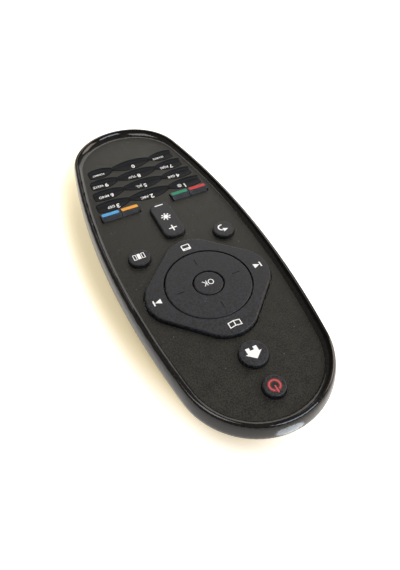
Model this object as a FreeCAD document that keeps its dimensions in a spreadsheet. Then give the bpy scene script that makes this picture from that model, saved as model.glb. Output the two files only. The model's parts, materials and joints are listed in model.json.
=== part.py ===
import FreeCAD, Part
import math
import os
import re
import Sketcher
from FreeCAD import Vector

# Remote control for a television: a glossy rim frame around a recessed matt face, rubber keys,
# a boat-shaped back shell and a sliding battery cover. Millimetres, +Z up, +Y towards the
# infrared window, origin under the middle of the case on the surface it rests on.

doc = FreeCAD.newDocument("remote_control")
sheet = doc.addObject("Spreadsheet::Sheet", "sizes")

sizes = {
    # plan outline of the case: two long side arcs and two end arcs, tangent to each other
    "halfWidth": 36.0,
    "sideRadius": 387.0,
    "frontReach": 91.2,
    "rearReach": 99.8,
    # heights of the case
    "caseHeight": 25.0,
    "beltHeight": 18.2,
    # rim frame: crest and cove, wider at the rear end
    "crestInset": 2.0,
    "crestInsetRear": 3.1,
    "crestWidth": 0.4,
    "dishInset": 4.4,
    "dishInsetRear": 7.4,
    "dishDepth": 2.75,
    "ledgeWidth": 2.2,
    "ledgeThickness": 1.2,
    "lipGap": 0.3,
    "lipThickness": 1.2,
    "lipDepth": 1.8,
    # back shell
    "bilgeInset": 16.0,
    "bilgeInsetFront": 22.0,
    "hullDraft": 3.0,
    "hullDraftFront": 9.0,
    "shellWall": 2.0,
    # battery bay, cover and window
    "cellRadius": 5.25,
    "cellLength": 44.5,
    "cellNubRadius": 1.9,
    "cellNubLength": 0.9,
    "cellBevel": 0.4,
    "cellSpacing": 12.0,
    "cellGap": 0.3,
    "baySetback": 67.5,
    "bayHalfWidth": 12.0,
    "bayWall": 1.2,
    "springReach": 2.4,
    "contactReach": 0.6,
    "contactThickness": 0.4,
    "contactWidth": 7.0,
    "contactCorner": 1.0,
    "coverGap": 0.25,
    "coverHalfWidth": 15.0,
    "coverLap": 7.0,
    "coverHeight": 8.0,
    "coverTabLength": 6.0,
    "coverTabHeight": 1.1,
    "coverTabReach": 1.2,
    "coverTabSpacing": 16.0,
    "coverTabSetback": 7.0,
    "railLength": 38.0,
    "tongueHalfWidth": 2.1,
    "tongueLength": 2.6,
    "tongueThickness": 0.9,
    "gripSetback": 5.0,
    "gripDepth": 0.5,
    "gripWidth": 0.9,
    "gripLength": 11.0,
    "gripPitch": 2.2,
    "windowHalfWidth": 12.0,
    "windowLow": 8.0,
    "windowHigh": 16.0,
    "windowGap": 0.1,
    "windowDepth": 24.0,
    # face plate
    "plateThickness": 1.6,
    "plateGap": 0.1,
    "bossRadius": 2.1,
    "bossMarginFront": 3.7,
    "bossMarginMiddle": 1.1,
    "bossMarginRear": 1.6,
    "bossFrontSetback": 15.5,
    "bossMiddleSetback": 36.5,
    "bossRearSetback": 9.65,
    # circuit board, switch mat and electronics
    "boardDrop": 1.6,
    "boardThickness": 1.2,
    "boardInset": 4.5,
    "boardInsetFront": 5.6,
    "restMargin": 14.0,
    "restSetback": 40.5,
    "restMiddleSetback": 26.5,
    "restRadius": 2.0,
    "matThickness": 0.9,
    "matInset": 7.0,
    "matInsetRear": 9.0,
    "matHoleRadius": 2.5,
    "ribEndGap": 0.8,
    "ribReach": 2.0,
    "ribHeight": 1.0,
    "ribWidth": 1.0,
    "ribGap": 0.1,
    "domeRadius": 2.0,
    "domeHeight": 0.25,
    "screwRadius": 0.95,
    "pilotRadius": 1.0,
    "screwLength": 4.2,
    "screwHeadRadius": 1.8,
    "screwHeadHeight": 1.1,
    "chipSize": 10.0,
    "chipThickness": 1.5,
    "chipSetback": 34.5,
    "chipLeadLength": 1.0,
    "chipLeadWidth": 0.5,
    "chipLeadThickness": 0.3,
    "resonatorLength": 6.0,
    "resonatorWidth": 3.0,
    "resonatorHeight": 2.2,
    "capacitorRadius": 2.5,
    "capacitorLength": 7.0,
    "capacitorCrimp": 0.3,
    "ledRadius": 2.5,
    "ledLength": 5.2,
    "ledSpacing": 10.0,
    "ledHeight": 12.4,
    "ledSetback": 1.8,
    "ledCollar": 0.4,
    "ledCollarLength": 1.0,
    "ledLeadSpacing": 2.54,
    "ledLeadWidth": 0.5,
    "ledLeadReach": 2.0,
    # keys in general
    "keyHeight": 1.95,
    "keyGap": 0.25,
    "keyTravel": 0.8,
    "keyEdge": 0.7,
    "flangeGap": 0.1,
    "flangeThickness": 0.8,
    "flangeReach": 0.7,
    "flangeReachSmall": 0.4,
    "flangeShort": 0.7,
    "stemRadius": 1.3,
    "pressGap": 0.05,
    # round keys
    "powerRadius": 4.3,
    "powerSetback": 15.3,
    "homeRadius": 5.6,
    "homeSetback": 14.6,
    "sideKeyRadius": 4.8,
    "sideKeyMargin": 11.3,
    "sideKeySetback": 25.9,
    # navigation cluster: centre key, cursor ring and four-way pad
    "navSetback": 4.2,
    "ringBand": 11.85,
    "navGap": 0.45,
    "padBand": 9.3,
    "padMargin": 4.3,
    "padCorner": 14.0,
    "padEdge": 1.0,
    "actuatorThickness": 0.8,
    "actuatorMargin": 1.1,
    "actuatorInset": 1.0,
    "ridgeHeight": 0.85,
    "ridgeGap": 0.1,
    "plungerRadius": 1.2,
    "plungerHole": 1.6,
    "plungerMargin": 1.0,
    "supportInset": 1.8,
    "supportOverlap": 0.2,
    "ringPlungerInset": 4.0,
    "padPlungerInset": 3.3,
    "tickInset": 3.8,
    "tickLength": 3.3,
    "tickWidth": 0.35,
    "tickDepth": 0.25,
    # rocker key
    "rockerSetback": 4.2,
    "rockerLength": 24.0,
    "rockerWidth": 10.0,
    "rockerCorner": 4.0,
    "rockerGap": 0.3,
    "rockerFlangeDrop": 1.0,
    "rockerFlange": 0.6,
    "rockerPlunger": 8.5,
    # coloured keys
    "colourSpacing": 11.8,
    "colourDepth": 5.2,
    "colourCrest": 1.3,
    "colourFall": 0.75,
    "colourCorner": 1.2,
    "colourMargin": 4.5,
    "colourOuterWidth": 9.7,
    "colourInnerWidth": 9.0,
    "keySplitGap": 0.3,
    "crestRound": 0.6,
    # number keys: four rows of three, each a scooped ridge with an apron in front of its foot
    "rowGap": 1.4,
    "rowSpacing": 2.45,
    "rowMargin": 0.3,
    "columnSplit": 10.2,
    "numberHeight": 1.9,
    "numberReach": 3.7,
    "numberBack": 2.6,
    "numberCrest": 0.27,
    "neckHeight": 1.1,
    "neckReach": 0.5,
    "neckBack": 1.1,
    "neckCrest": 0.16,
    "endHeight": 1.55,
    "endReach": 2.6,
    "endBack": 2.1,
    "endCrest": 0.22,
    "footLead": 0.3,
    "apronHeight": 0.25,
    "apronEdge": 0.12,
    "scoopTurn": 78.0,
    "crestSpread": 1.9,
}
for line, (alias, number) in enumerate(sizes.items(), start=1):
    sheet.set(f"A{line}", alias)
    sheet.set(f"B{line}", str(number))
    sheet.setAlias(f"B{line}", alias)
doc.recompute()

number_rows = 4
chip_leads = 8
nodes = {}
lines = {}


# A formula is written with the plain names of the sizes and of the lines worked out from them.
def formula(text, own=False):
    def prefixed(match):
        name = match[0]
        if name in sizes:
            return "sizes." + name
        return "lines." + name if name in lines and not own else name
    return re.sub(r"[A-Za-z]\w*", prefixed, str(text))


def value(text):
    return float(sheet.evalExpression(formula(text)))


# The end arc that is tangent to both side arcs and reaches as far as is asked for.
def end_radius(reach, side, half):
    return f"((({side})^2 - (({side}) - ({half}))^2 - ({reach})^2) / (2 * (({side}) - ({reach}))))"


# The opening inside the rim frame's ledge: its half width at a line across the case. The outline
# bends with the end arcs beyond the lines where these meet the side arcs.
def opening_half_width(y):
    front = f"sqrt(openingFrontRadius^2 - (({y}) - openingFrontCentre)^2)"
    rear = f"sqrt(openingRearRadius^2 - (({y}) - openingRearCentre)^2)"
    beside = f"sqrt(ledgeSide^2 - (({y}) - wideLine)^2) - ledgeSide + openingHalf"
    return f"({y}) > openingFrontTurn ? {front} : (({y}) < openingRearTurn ? {rear} : {beside})"


# Heights, and lines across and along the case, that several pieces share.
lines.update({
    "wideLine": "(rearReach - frontReach) / 2",
    "halfLength": "(rearReach + frontReach) / 2",
    "faceHalf": "halfWidth - dishInset",
    "plateTop": "caseHeight - dishDepth",
    "plateUnder": "plateTop - plateThickness",
    "keyTop": "plateTop + keyHeight",
    "flangeTop": "plateUnder - flangeGap",
    "flangeUnder": "flangeTop - flangeThickness",
    "rockerFlangeTop": "plateUnder - rockerFlangeDrop",
    "rockerFlangeUnder": "rockerFlangeTop - rockerFlange",
    "ledgeUnder": "plateUnder - ledgeThickness",
    "boardTop": "beltHeight - boardDrop",
    "boardUnder": "boardTop - boardThickness",
    "matTop": "boardTop + matThickness",
    "stemUnder": "boardTop + domeHeight + keyTravel + pressGap",
    "actuatorUnder": "matTop + ribHeight + ribGap",
    "actuatorTop": "actuatorUnder + actuatorThickness",
    "padUnder": "actuatorTop + ridgeHeight + ridgeGap",
    "cellCentre": "shellWall + cellGap + cellRadius",
    "bayCeiling": "cellCentre + cellRadius + ribGap",
    "bayFloor": "shellWall / 2",
    "coverSill": "shellWall + 2 * coverGap",
    "bayFront": "baySetback - halfLength",
    "bayRear": "bayFront - springReach - cellLength - contactReach",
    "coverFront": "bayFront + coverLap",
    "lipShare": "lipDepth / (beltHeight - shellWall)",
    "lipInset": "shellWall + lipGap + hullDraft * lipShare",
    "lipInsetFront": "shellWall + lipGap + hullDraftFront * lipShare",
    "openingHalf": "faceHalf - ledgeWidth",
    "ledgeSide": "sideRadius - dishInset - ledgeWidth",
    "openingFront": "frontReach - dishInset - ledgeWidth",
    "openingRear": "rearReach - dishInsetRear - ledgeWidth",
    "openingFrontRadius": end_radius("openingFront", "ledgeSide", "openingHalf"),
    "openingRearRadius": end_radius("openingRear", "ledgeSide", "openingHalf"),
    "openingFrontCentre": "wideLine + openingFront - openingFrontRadius",
    "openingRearCentre": "wideLine - openingRear + openingRearRadius",
    "frontShare": "(openingFrontCentre - wideLine) / (ledgeSide - openingFrontRadius)",
    "rearShare": "(wideLine - openingRearCentre) / (ledgeSide - openingRearRadius)",
    "openingFrontTurn": "wideLine + ledgeSide * frontShare",
    "openingRearTurn": "wideLine - ledgeSide * rearShare",
    "powerPlace": "halfLength - powerSetback",
    "homePlace": "powerPlace - homeSetback",
    "padTip": "faceHalf - padMargin",
    "padReach": "padTip + padCorner * (sqrt(2) - 1)",
    "ringRadius": "padTip - padBand",
    "okRadius": "ringRadius - ringBand",
    "ringPlunger": "ringRadius - ringPlungerInset",
    "padPlunger": "padTip - padPlungerInset",
    "tickOuter": "ringRadius - tickInset",
    "tickInner": "tickOuter - tickLength",
    "navPlace": "homePlace - homeRadius - navSetback - padTip",
    "rockerPlace": "navPlace - padTip - rockerSetback - rockerLength / 2",
    "sideKeyX": "faceHalf - sideKeyMargin",
    "sideKeyY": "navPlace - sideKeySetback",
    "colourPlace": "rockerPlace - colourSpacing",
    "colourOuter": "faceHalf - colourMargin",
    "colourSplit": "colourOuter - colourOuterWidth",
    "colourInner": "colourSplit - colourInnerWidth",
    "rowPlace": "colourPlace - colourDepth - rowGap - numberReach",
    "rowPitch": "numberReach + numberBack + rowSpacing",
    "numberStem": "(numberReach - numberBack) / 2",
    "bossFrontY": "halfLength - bossFrontSetback",
    "bossMiddleY": "navPlace - bossMiddleSetback",
    "bossRearY": "rowPlace - 3 * rowPitch - bossRearSetback",
    "openingAtFront": opening_half_width("bossFrontY"),
    "openingAtMiddle": opening_half_width("bossMiddleY"),
    "openingAtRear": opening_half_width("bossRearY"),
    "bossFrontX": "openingAtFront - bossMarginFront - bossRadius",
    "bossMiddleX": "openingAtMiddle - bossMarginMiddle - bossRadius",
    "bossRearX": "openingAtRear - bossMarginRear - bossRadius",
    "restX": "halfWidth - restMargin",
    "restFrontY": "halfLength - restSetback",
    "restMiddleY": "navPlace - restMiddleSetback",
    "restRearY": "restSetback - halfLength",
    "chipPlace": "navPlace - chipSetback",
    "ledShare": "(beltHeight - ledHeight) / (beltHeight - shellWall)",
})
for row in range(number_rows):
    lines[f"rowLine{row}"] = f"rowPlace - {row} * rowPitch"
    lines[f"openingBehindRow{row}"] = opening_half_width(f"rowLine{row} - numberBack")
    lines[f"rowHalf{row}"] = f"openingBehindRow{row} - rowMargin"
line_sheet = doc.addObject("Spreadsheet::Sheet", "lines")
for index, (alias, text) in enumerate(lines.items(), start=1):
    line_sheet.set(f"A{index}", alias)
    line_sheet.set(f"B{index}", "=" + formula(text, own=True))
    line_sheet.setAlias(f"B{index}", alias)
doc.recompute()


def label(piece, node):
    piece.Label = node
    nodes[node] = piece
    return piece


def new_body(name):
    return doc.addObject("PartDesign::Body", name)


def origin_part(body, role):
    return [part for part in body.Origin.OriginFeatures if part.Role == role][0]


def new_sketch(body, name, level="0", plane="XY_Plane"):
    sketch = body.newObject("Sketcher::SketchObject", body.Name + "_" + name)
    sketch.AttachmentSupport = (origin_part(body, plane), [""])
    sketch.MapMode = "FlatFace"
    sketch.setExpression("AttachmentOffset.Base.z", formula(level))
    return sketch


# Constraints go in together, and each dimension is bound to its formula.
def constrain(sketch, rules, dimensions):
    sketch.addConstraint(rules)
    first = sketch.ConstraintCount
    sketch.addConstraint([Sketcher.Constraint(*parts, value(text)) for parts, text in dimensions])
    for index, (parts, text) in enumerate(dimensions, start=first):
        sketch.setExpression(f"Constraints[{index}]", formula(text))


def point_rules(geometry, vertex, x, y):
    return [(("DistanceX", -1, 1, geometry, vertex), x), (("DistanceY", -1, 1, geometry, vertex), y)]


def draw_circle(sketch, x, y, radius):
    circle = Part.Circle(Vector(value(x), value(y), 0), Vector(0, 0, 1), value(radius))
    index = sketch.addGeometry(circle)
    constrain(sketch, [], point_rules(index, 3, x, y) + [(("Radius", index), radius)])


# A closed chain of edges. An edge in arcs bends with that radius, and curves outwards on a chain
# that runs anticlockwise; with a minus sign it curves inwards.
def draw_chain(sketch, points, arcs=None):
    arcs = arcs or {}
    spots = [Vector(value(x), value(y), 0) for x, y in points]
    first = sketch.GeometryCount
    ends = []
    dimensions = []
    for index, start in enumerate(spots):
        end = spots[(index + 1) % len(spots)]
        if index not in arcs:
            sketch.addGeometry(Part.LineSegment(start, end))
            ends.append((1, 2))
            continue
        text = str(arcs[index])
        outwards = not text.startswith("-")
        text = text.lstrip("-")
        chord = end - start
        radius = value(text)
        rise = math.sqrt(max(radius ** 2 - chord.Length ** 2 / 4, 0))
        side = Vector(-chord.y, chord.x, 0).normalize() * (rise if outwards else -rise)
        centre = start + chord / 2 + side
        turn_a, turn_b = (start, end) if outwards else (end, start)
        angle_a = math.atan2(turn_a.y - centre.y, turn_a.x - centre.x)
        angle_b = math.atan2(turn_b.y - centre.y, turn_b.x - centre.x)
        circle = Part.Circle(centre, Vector(0, 0, 1), radius)
        sketch.addGeometry(Part.ArcOfCircle(circle, angle_a, angle_b))
        ends.append((1, 2) if outwards else (2, 1))
        dimensions.append((("Radius", first + index), text))
    joints = []
    for index in range(len(spots)):
        following = (index + 1) % len(spots)
        joints.append(Sketcher.Constraint("Coincident", first + index, ends[index][1],
                                          first + following, ends[following][0]))
        dimensions += point_rules(first + index, ends[index][0], *points[index])
    constrain(sketch, joints, dimensions)


def draw_box(sketch, x_low, x_high, y_low, y_high):
    draw_chain(sketch, [(x_low, y_low), (x_high, y_low), (x_high, y_high), (x_low, y_high)])


def draw_rounded_box(sketch, x, y, half_x, half_y, corner):
    left, right = f"({x}) - ({half_x})", f"({x}) + ({half_x})"
    low, high = f"({y}) - ({half_y})", f"({y}) + ({half_y})"
    points = [
        (f"{left} + ({corner})", low), (f"{right} - ({corner})", low),
        (right, f"{low} + ({corner})"), (right, f"{high} - ({corner})"),
        (f"{right} - ({corner})", high), (f"{left} + ({corner})", high),
        (left, f"{high} - ({corner})"), (left, f"{low} + ({corner})"),
    ]
    draw_chain(sketch, points, {1: corner, 3: corner, 5: corner, 7: corner})


# The case outline, moved inwards by its own inset at the sides, the front and the rear.
def draw_outline(sketch, inset, inset_front=None, inset_rear=None):
    half = f"(halfWidth - ({inset}))"
    side = f"(sideRadius - ({inset}))"
    front = f"(frontReach - ({inset_front or inset}))"
    rear = f"(rearReach - ({inset_rear or inset}))"
    front_radius = end_radius(front, side, half)
    rear_radius = end_radius(rear, side, half)
    front_centre = f"(wideLine + {front} - {front_radius})"
    rear_centre = f"(wideLine - {rear} + {rear_radius})"
    reach_x = value(f"{side} - {half}")
    line_y = value("wideLine")
    front_angle = math.atan2(value(front_centre) - line_y, reach_x)
    rear_angle = math.atan2(line_y - value(rear_centre), reach_x)
    places = [
        ((-reach_x, line_y), side, -rear_angle, front_angle),
        ((0, value(front_centre)), front_radius, front_angle, math.pi - front_angle),
        ((reach_x, line_y), side, math.pi - front_angle, math.pi + rear_angle),
        ((0, value(rear_centre)), rear_radius, math.pi + rear_angle, 2 * math.pi - rear_angle),
    ]
    first = sketch.GeometryCount
    for (x, y), radius, start, end in places:
        circle = Part.Circle(Vector(x, y, 0), Vector(0, 0, 1), value(radius))
        sketch.addGeometry(Part.ArcOfCircle(circle, start, end))
    rules = []
    for index in range(4):
        rules.append(Sketcher.Constraint("Tangent", first + index, 2, first + (index + 1) % 4, 1))
    rules.append(Sketcher.Constraint("Equal", first, first + 2))
    rules.append(Sketcher.Constraint("PointOnObject", first + 1, 3, -2))
    rules.append(Sketcher.Constraint("PointOnObject", first + 3, 3, -2))
    dimensions = [
        (("DistanceX", -1, 1, first, 3), f"{half} - {side}"),
        (("DistanceY", -1, 1, first, 3), "wideLine"),
        (("DistanceY", -1, 1, first + 1, 3), front_centre),
        (("DistanceY", -1, 1, first + 3, 3), rear_centre),
        (("Radius", first), side),
    ]
    constrain(sketch, rules, dimensions)


# The four-way pad's plan: a square on its tip with large round corners, grown by an offset.
def draw_diamond(sketch, y, offset="0"):
    centre = "(padReach - padCorner * sqrt(2))"
    radius = f"(padCorner + ({offset}))"
    reach, size, middle = value(centre), value(radius), value(y)
    first = sketch.GeometryCount
    slant = size / math.sqrt(2)
    spots = [(reach, 0), (0, reach), (-reach, 0), (0, -reach)]
    for index, (x, up) in enumerate(spots):
        start = math.radians(90 * index - 45)
        circle = Part.Circle(Vector(x, middle + up, 0), Vector(0, 0, 1), size)
        sketch.addGeometry(Part.ArcOfCircle(circle, start, start + math.pi / 2))
    for index, (x, up) in enumerate(spots):
        next_x, next_up = spots[(index + 1) % 4]
        turn = math.radians(90 * index + 45)
        step = Vector(size * math.cos(turn), size * math.sin(turn), 0)
        start = Vector(x, middle + up, 0) + step
        end = Vector(next_x, middle + next_up, 0) + step
        sketch.addGeometry(Part.LineSegment(start, end))
    rules = []
    for index in range(4):
        rules.append(Sketcher.Constraint("Tangent", first + index, 2, first + 4 + index, 1))
        rules.append(Sketcher.Constraint("Tangent", first + 4 + index, 2, first + (index + 1) % 4, 1))
    dimensions = []
    signs = [("1", "0"), ("0", "1"), ("-1", "0"), ("0", "-1")]
    for index, (sign_x, sign_y) in enumerate(signs):
        dimensions += point_rules(first + index, 3, f"{sign_x} * {centre}", f"({y}) + {sign_y} * {centre}")
        dimensions.append((("Radius", first + index), radius))
    constrain(sketch, rules, dimensions)


def pad(body, sketch, length, down=False):
    feature = body.newObject("PartDesign::Pad", sketch.Name + "_pad")
    feature.Profile = sketch
    feature.setExpression("Length", formula(length))
    feature.Reversed = down
    return feature


def pad_both_ways(body, sketch, length):
    feature = pad(body, sketch, length)
    feature.SideType = "Symmetric"
    return feature


# Cuts downwards from the sketch, or upwards where it is turned round.
def pocket(body, sketch, depth, up=False):
    feature = body.newObject("PartDesign::Pocket", sketch.Name + "_pocket")
    feature.Profile = sketch
    feature.setExpression("Length", formula(depth))
    feature.Reversed = up
    return feature


def loft(body, sketches, cut=False):
    kind = "PartDesign::SubtractiveLoft" if cut else "PartDesign::AdditiveLoft"
    feature = body.newObject(kind, sketches[0].Name + "_loft")
    feature.Profile = sketches[0]
    feature.Sections = sketches[1:]
    return feature


def revolve(body, sketch, axis):
    feature = body.newObject("PartDesign::Revolution", sketch.Name + "_revolution")
    feature.Profile = sketch
    feature.ReferenceAxis = (origin_part(body, axis), [""])
    feature.Angle = 360
    return feature


# Rounds the edges that lie whole at one height.
def round_edges(body, height, radius, wanted=None):
    doc.recompute()
    base = body.Tip
    level = value(height)
    names = []
    for index, edge in enumerate(base.Shape.Edges, start=1):
        box = edge.BoundBox
        if abs(box.ZMin - level) < 0.01 and abs(box.ZMax - level) < 0.01:
            if wanted is None or wanted(edge):
                names.append(f"Edge{index}")
    feature = body.newObject("PartDesign::Fillet", body.Name + "_round")
    feature.Base = (base, names)
    feature.setExpression("Radius", formula(radius))
    return feature


def place(piece, x="0", y="0", z="0"):
    for axis, text in (("x", x), ("y", y), ("z", z)):
        if str(text) != "0":
            piece.setExpression(f"Placement.Base.{axis}", formula(text))
    return piece


def boolean(kind, name, base, tool):
    piece = doc.addObject("Part::" + kind, name)
    piece.Base = base
    piece.Tool = tool
    return piece


def block(name, x_low, x_high, y_low, y_high, z_low, z_high):
    piece = doc.addObject("Part::Box", name)
    piece.setExpression("Length", formula(f"({x_high}) - ({x_low})"))
    piece.setExpression("Width", formula(f"({y_high}) - ({y_low})"))
    piece.setExpression("Height", formula(f"({z_high}) - ({z_low})"))
    return place(piece, x_low, y_low, z_low)


def compound(name, pieces):
    group = doc.addObject("Part::Compound", name)
    group.Links = pieces
    return group


# where the keys, screws and switches stand
boss_places = []
rest_places = []
for sign in ("-1", "1"):
    boss_places.append((f"{sign} * bossFrontX", "bossFrontY"))
    boss_places.append((f"{sign} * bossMiddleX", "bossMiddleY"))
    boss_places.append((f"{sign} * bossRearX", "bossRearY"))
    for rest_line in ("restFrontY", "restMiddleY", "restRearY"):
        rest_places.append((f"{sign} * restX", rest_line))

round_keys = {
    "power_key": ("0", "powerPlace", "powerRadius"),
    "home_key": ("0", "homePlace", "homeRadius"),
    "back_key": ("-sideKeyX", "sideKeyY", "sideKeyRadius"),
    "options_key": ("sideKeyX", "sideKeyY", "sideKeyRadius"),
}
# each coloured key: its two ends, and the side of its rounded end
colour_keys = {
    "red_key": ("-colourOuter", "-colourSplit - keySplitGap / 2", -1),
    "green_key": ("-colourSplit + keySplitGap / 2", "-colourInner", 1),
    "yellow_key": ("colourInner", "colourSplit - keySplitGap / 2", -1),
    "blue_key": ("colourSplit + keySplitGap / 2", "colourOuter", 1),
}
number_names = [
    ("digit_1_key", "digit_2_key", "digit_3_key"),
    ("digit_4_key", "digit_5_key", "digit_6_key"),
    ("digit_7_key", "digit_8_key", "digit_9_key"),
    ("source_key", "digit_0_key", "format_key"),
]
number_keys = {}
for row, names in enumerate(number_names):
    split_low = "(columnSplit - keySplitGap / 2)"
    split_high = "(columnSplit + keySplitGap / 2)"
    half = f"rowHalf{row}"
    spans = [(f"-{half}", f"-{split_high}", "end", "neck"), (f"-{split_low}", split_low, "neck", "neck"),
             (split_high, half, "neck", "end")]
    for name, span in zip(names, spans):
        number_keys[name] = (row, *span)

switch_places = [(x, y) for x, y, radius in round_keys.values()]
switch_places.append(("0", "navPlace"))
for reach in ("ringPlunger", "padPlunger"):
    switch_places += [(reach, "navPlace"), (f"-{reach}", "navPlace")]
    switch_places += [("0", f"navPlace + {reach}"), ("0", f"navPlace - {reach}")]
switch_places += [("0", "rockerPlace + rockerPlunger"), ("0", "rockerPlace - rockerPlunger")]
for left, right, side in colour_keys.values():
    switch_places.append((f"(({left}) + ({right})) / 2", "colourPlace - colourDepth / 2"))
for row, left, right, left_kind, right_kind in number_keys.values():
    switch_places.append((f"(({left}) + ({right})) / 2", f"rowLine{row} + numberStem"))


# The rim frame: the outside rounds from the belt up to a narrow crest, and a cove falls from the
# crest to the recessed face. A ledge under the cove carries the face plate, and a lip drops
# into the back shell.
def make_top_frame():
    body = new_body("TopFrame")
    sections = []
    for angle in (0, 25, 50, 72, 90):
        share = f"(1 - cos({angle}deg))"
        level = f"beltHeight + (caseHeight - beltHeight) * sin({angle}deg)"
        sketch = new_sketch(body, f"outside{angle}", level)
        draw_outline(sketch, f"crestInset * {share}", None, f"crestInsetRear * {share}")
        sections.append(sketch)
    loft(body, sections)
    lip = new_sketch(body, "lip", "beltHeight")
    draw_outline(lip, "lipInset", "lipInsetFront")
    pad(body, lip, "lipDepth", down=True)
    cove = []
    for angle in (0, 30, 60, 90):
        level = f"caseHeight - dishDepth * sin({angle}deg)"
        fall = f"(dishInset - crestInset - crestWidth) * cos({angle}deg)"
        fall_rear = f"(dishInsetRear - crestInsetRear - crestWidth) * cos({angle}deg)"
        sketch = new_sketch(body, f"cove{angle}", level)
        draw_outline(sketch, f"dishInset - {fall}", None, f"dishInsetRear - {fall_rear}")
        cove.append(sketch)
    loft(body, cove, cut=True)
    seat = new_sketch(body, "seat", "plateTop")
    draw_outline(seat, "dishInset", None, "dishInsetRear")
    pocket(body, seat, "plateThickness")
    opening = new_sketch(body, "opening", "plateUnder")
    draw_outline(opening, "dishInset + ledgeWidth", None, "dishInsetRear + ledgeWidth")
    pocket(body, opening, "ledgeThickness")
    inside = new_sketch(body, "inside", "ledgeUnder")
    draw_outline(inside, "lipInset + lipThickness", "lipInsetFront + lipThickness")
    pocket(body, inside, "ledgeUnder - beltHeight + lipDepth")
    return label(body, "top_frame")


# The face plate with its key openings and, underneath, the bosses that clamp the circuit board.
def make_face_plate():
    body = new_body("FacePlate")
    plan = new_sketch(body, "plan", "plateUnder")
    draw_outline(plan, "dishInset + plateGap", None, "dishInsetRear + plateGap")
    pad(body, plan, "plateThickness")
    bosses = new_sketch(body, "bosses", "plateUnder")
    for x, y in boss_places:
        draw_circle(bosses, x, y, "bossRadius")
    pad(body, bosses, f"plateUnder - boardTop", down=True)
    pilots = new_sketch(body, "pilots", "boardTop")
    for x, y in boss_places:
        draw_circle(pilots, x, y, "pilotRadius")
    pocket(body, pilots, "screwLength - boardThickness + ribGap", up=True)
    holes = new_sketch(body, "holes", "plateTop")
    for x, y, radius in round_keys.values():
        draw_circle(holes, x, y, f"{radius} + keyGap")
    draw_rounded_box(holes, "0", "rockerPlace", "rockerWidth / 2 + keyGap",
                     "rockerLength / 2 + rockerGap", "rockerCorner + keyGap")
    draw_diamond(holes, "navPlace", "navGap")
    pocket(body, holes, "plateThickness")
    slots = new_sketch(body, "slots", "plateTop")
    for sign in (-1, 1):
        edges = [f"{sign} * (colourInner - keyGap)", f"{sign} * (colourOuter + keyGap)"]
        if sign < 0:
            edges.reverse()
        draw_box(slots, *edges, "colourPlace - colourDepth - keyGap", "colourPlace + keyGap")
    for row in range(number_rows):
        draw_row_slot(slots, row)
    pocket(body, slots, "plateThickness")
    return label(body, "face_plate")


# The radius of an arc that starts at one depth, reaches a second halfway and ends at a third.
def bow_radius(half_span, start, middle, end):
    first = f"sqrt({half_span}^2 + ({middle} - {start})^2)"
    second = f"sqrt({half_span}^2 + ({middle} - {end})^2)"
    whole = f"sqrt(4 * {half_span}^2 + ({end} - {start})^2)"
    return f"({first} * {second} * {whole} / (2 * {half_span} * (2 * {middle} - {start} - {end})))"


# A row slot follows the outline of its three keys.
def draw_row_slot(sketch, row):
    half = f"(rowHalf{row} + keyGap)"
    line = f"rowLine{row}"
    outer_span = f"(({half} - columnSplit) / 2)"
    points = []
    arcs = {}
    for side, neck, middle, end in (("1", "neckReach", "numberReach", "endReach"),
                                    ("-1", "neckBack", "numberBack", "endBack")):
        at_end = f"{line} + {side} * ({end} + keyGap)"
        at_neck = f"{line} + {side} * ({neck} + keyGap)"
        outer = bow_radius(outer_span, neck, middle, end)
        inner = bow_radius("columnSplit", neck, middle, neck)
        arcs.update({len(points): outer, len(points) + 1: inner, len(points) + 2: outer})
        points += [(f"{side} * {half}", at_end), (f"{side} * columnSplit", at_neck),
                   (f"-{side} * columnSplit", at_neck), (f"-{side} * {half}", at_end)]
    draw_chain(sketch, points, arcs)


# The hull of the back: level outlines that lean inwards from the belt by a draft, more at the
# front end, and draw in towards the bottom on a quarter ellipse.
def hull_inset(full, draft, wall, share):
    bend = f"({full} - {draft} - ({wall})) * (1 - sqrt(1 - ({share})^2))"
    return f"({wall}) + {draft} * {share} + {bend}"


def make_hull(name, wall):
    body = new_body(name)
    sections = []
    for angle in (0, 20, 40, 58, 75, 90):
        level = f"beltHeight - (beltHeight - ({wall})) * sin({angle}deg)"
        side = hull_inset("bilgeInset", "hullDraft", wall, f"sin({angle}deg)")
        front = hull_inset("bilgeInsetFront", "hullDraftFront", wall, f"sin({angle}deg)")
        sketch = new_sketch(body, f"level{angle}", level)
        draw_outline(sketch, side, front, side)
        sections.append(sketch)
    loft(body, sections)
    return body


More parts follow.
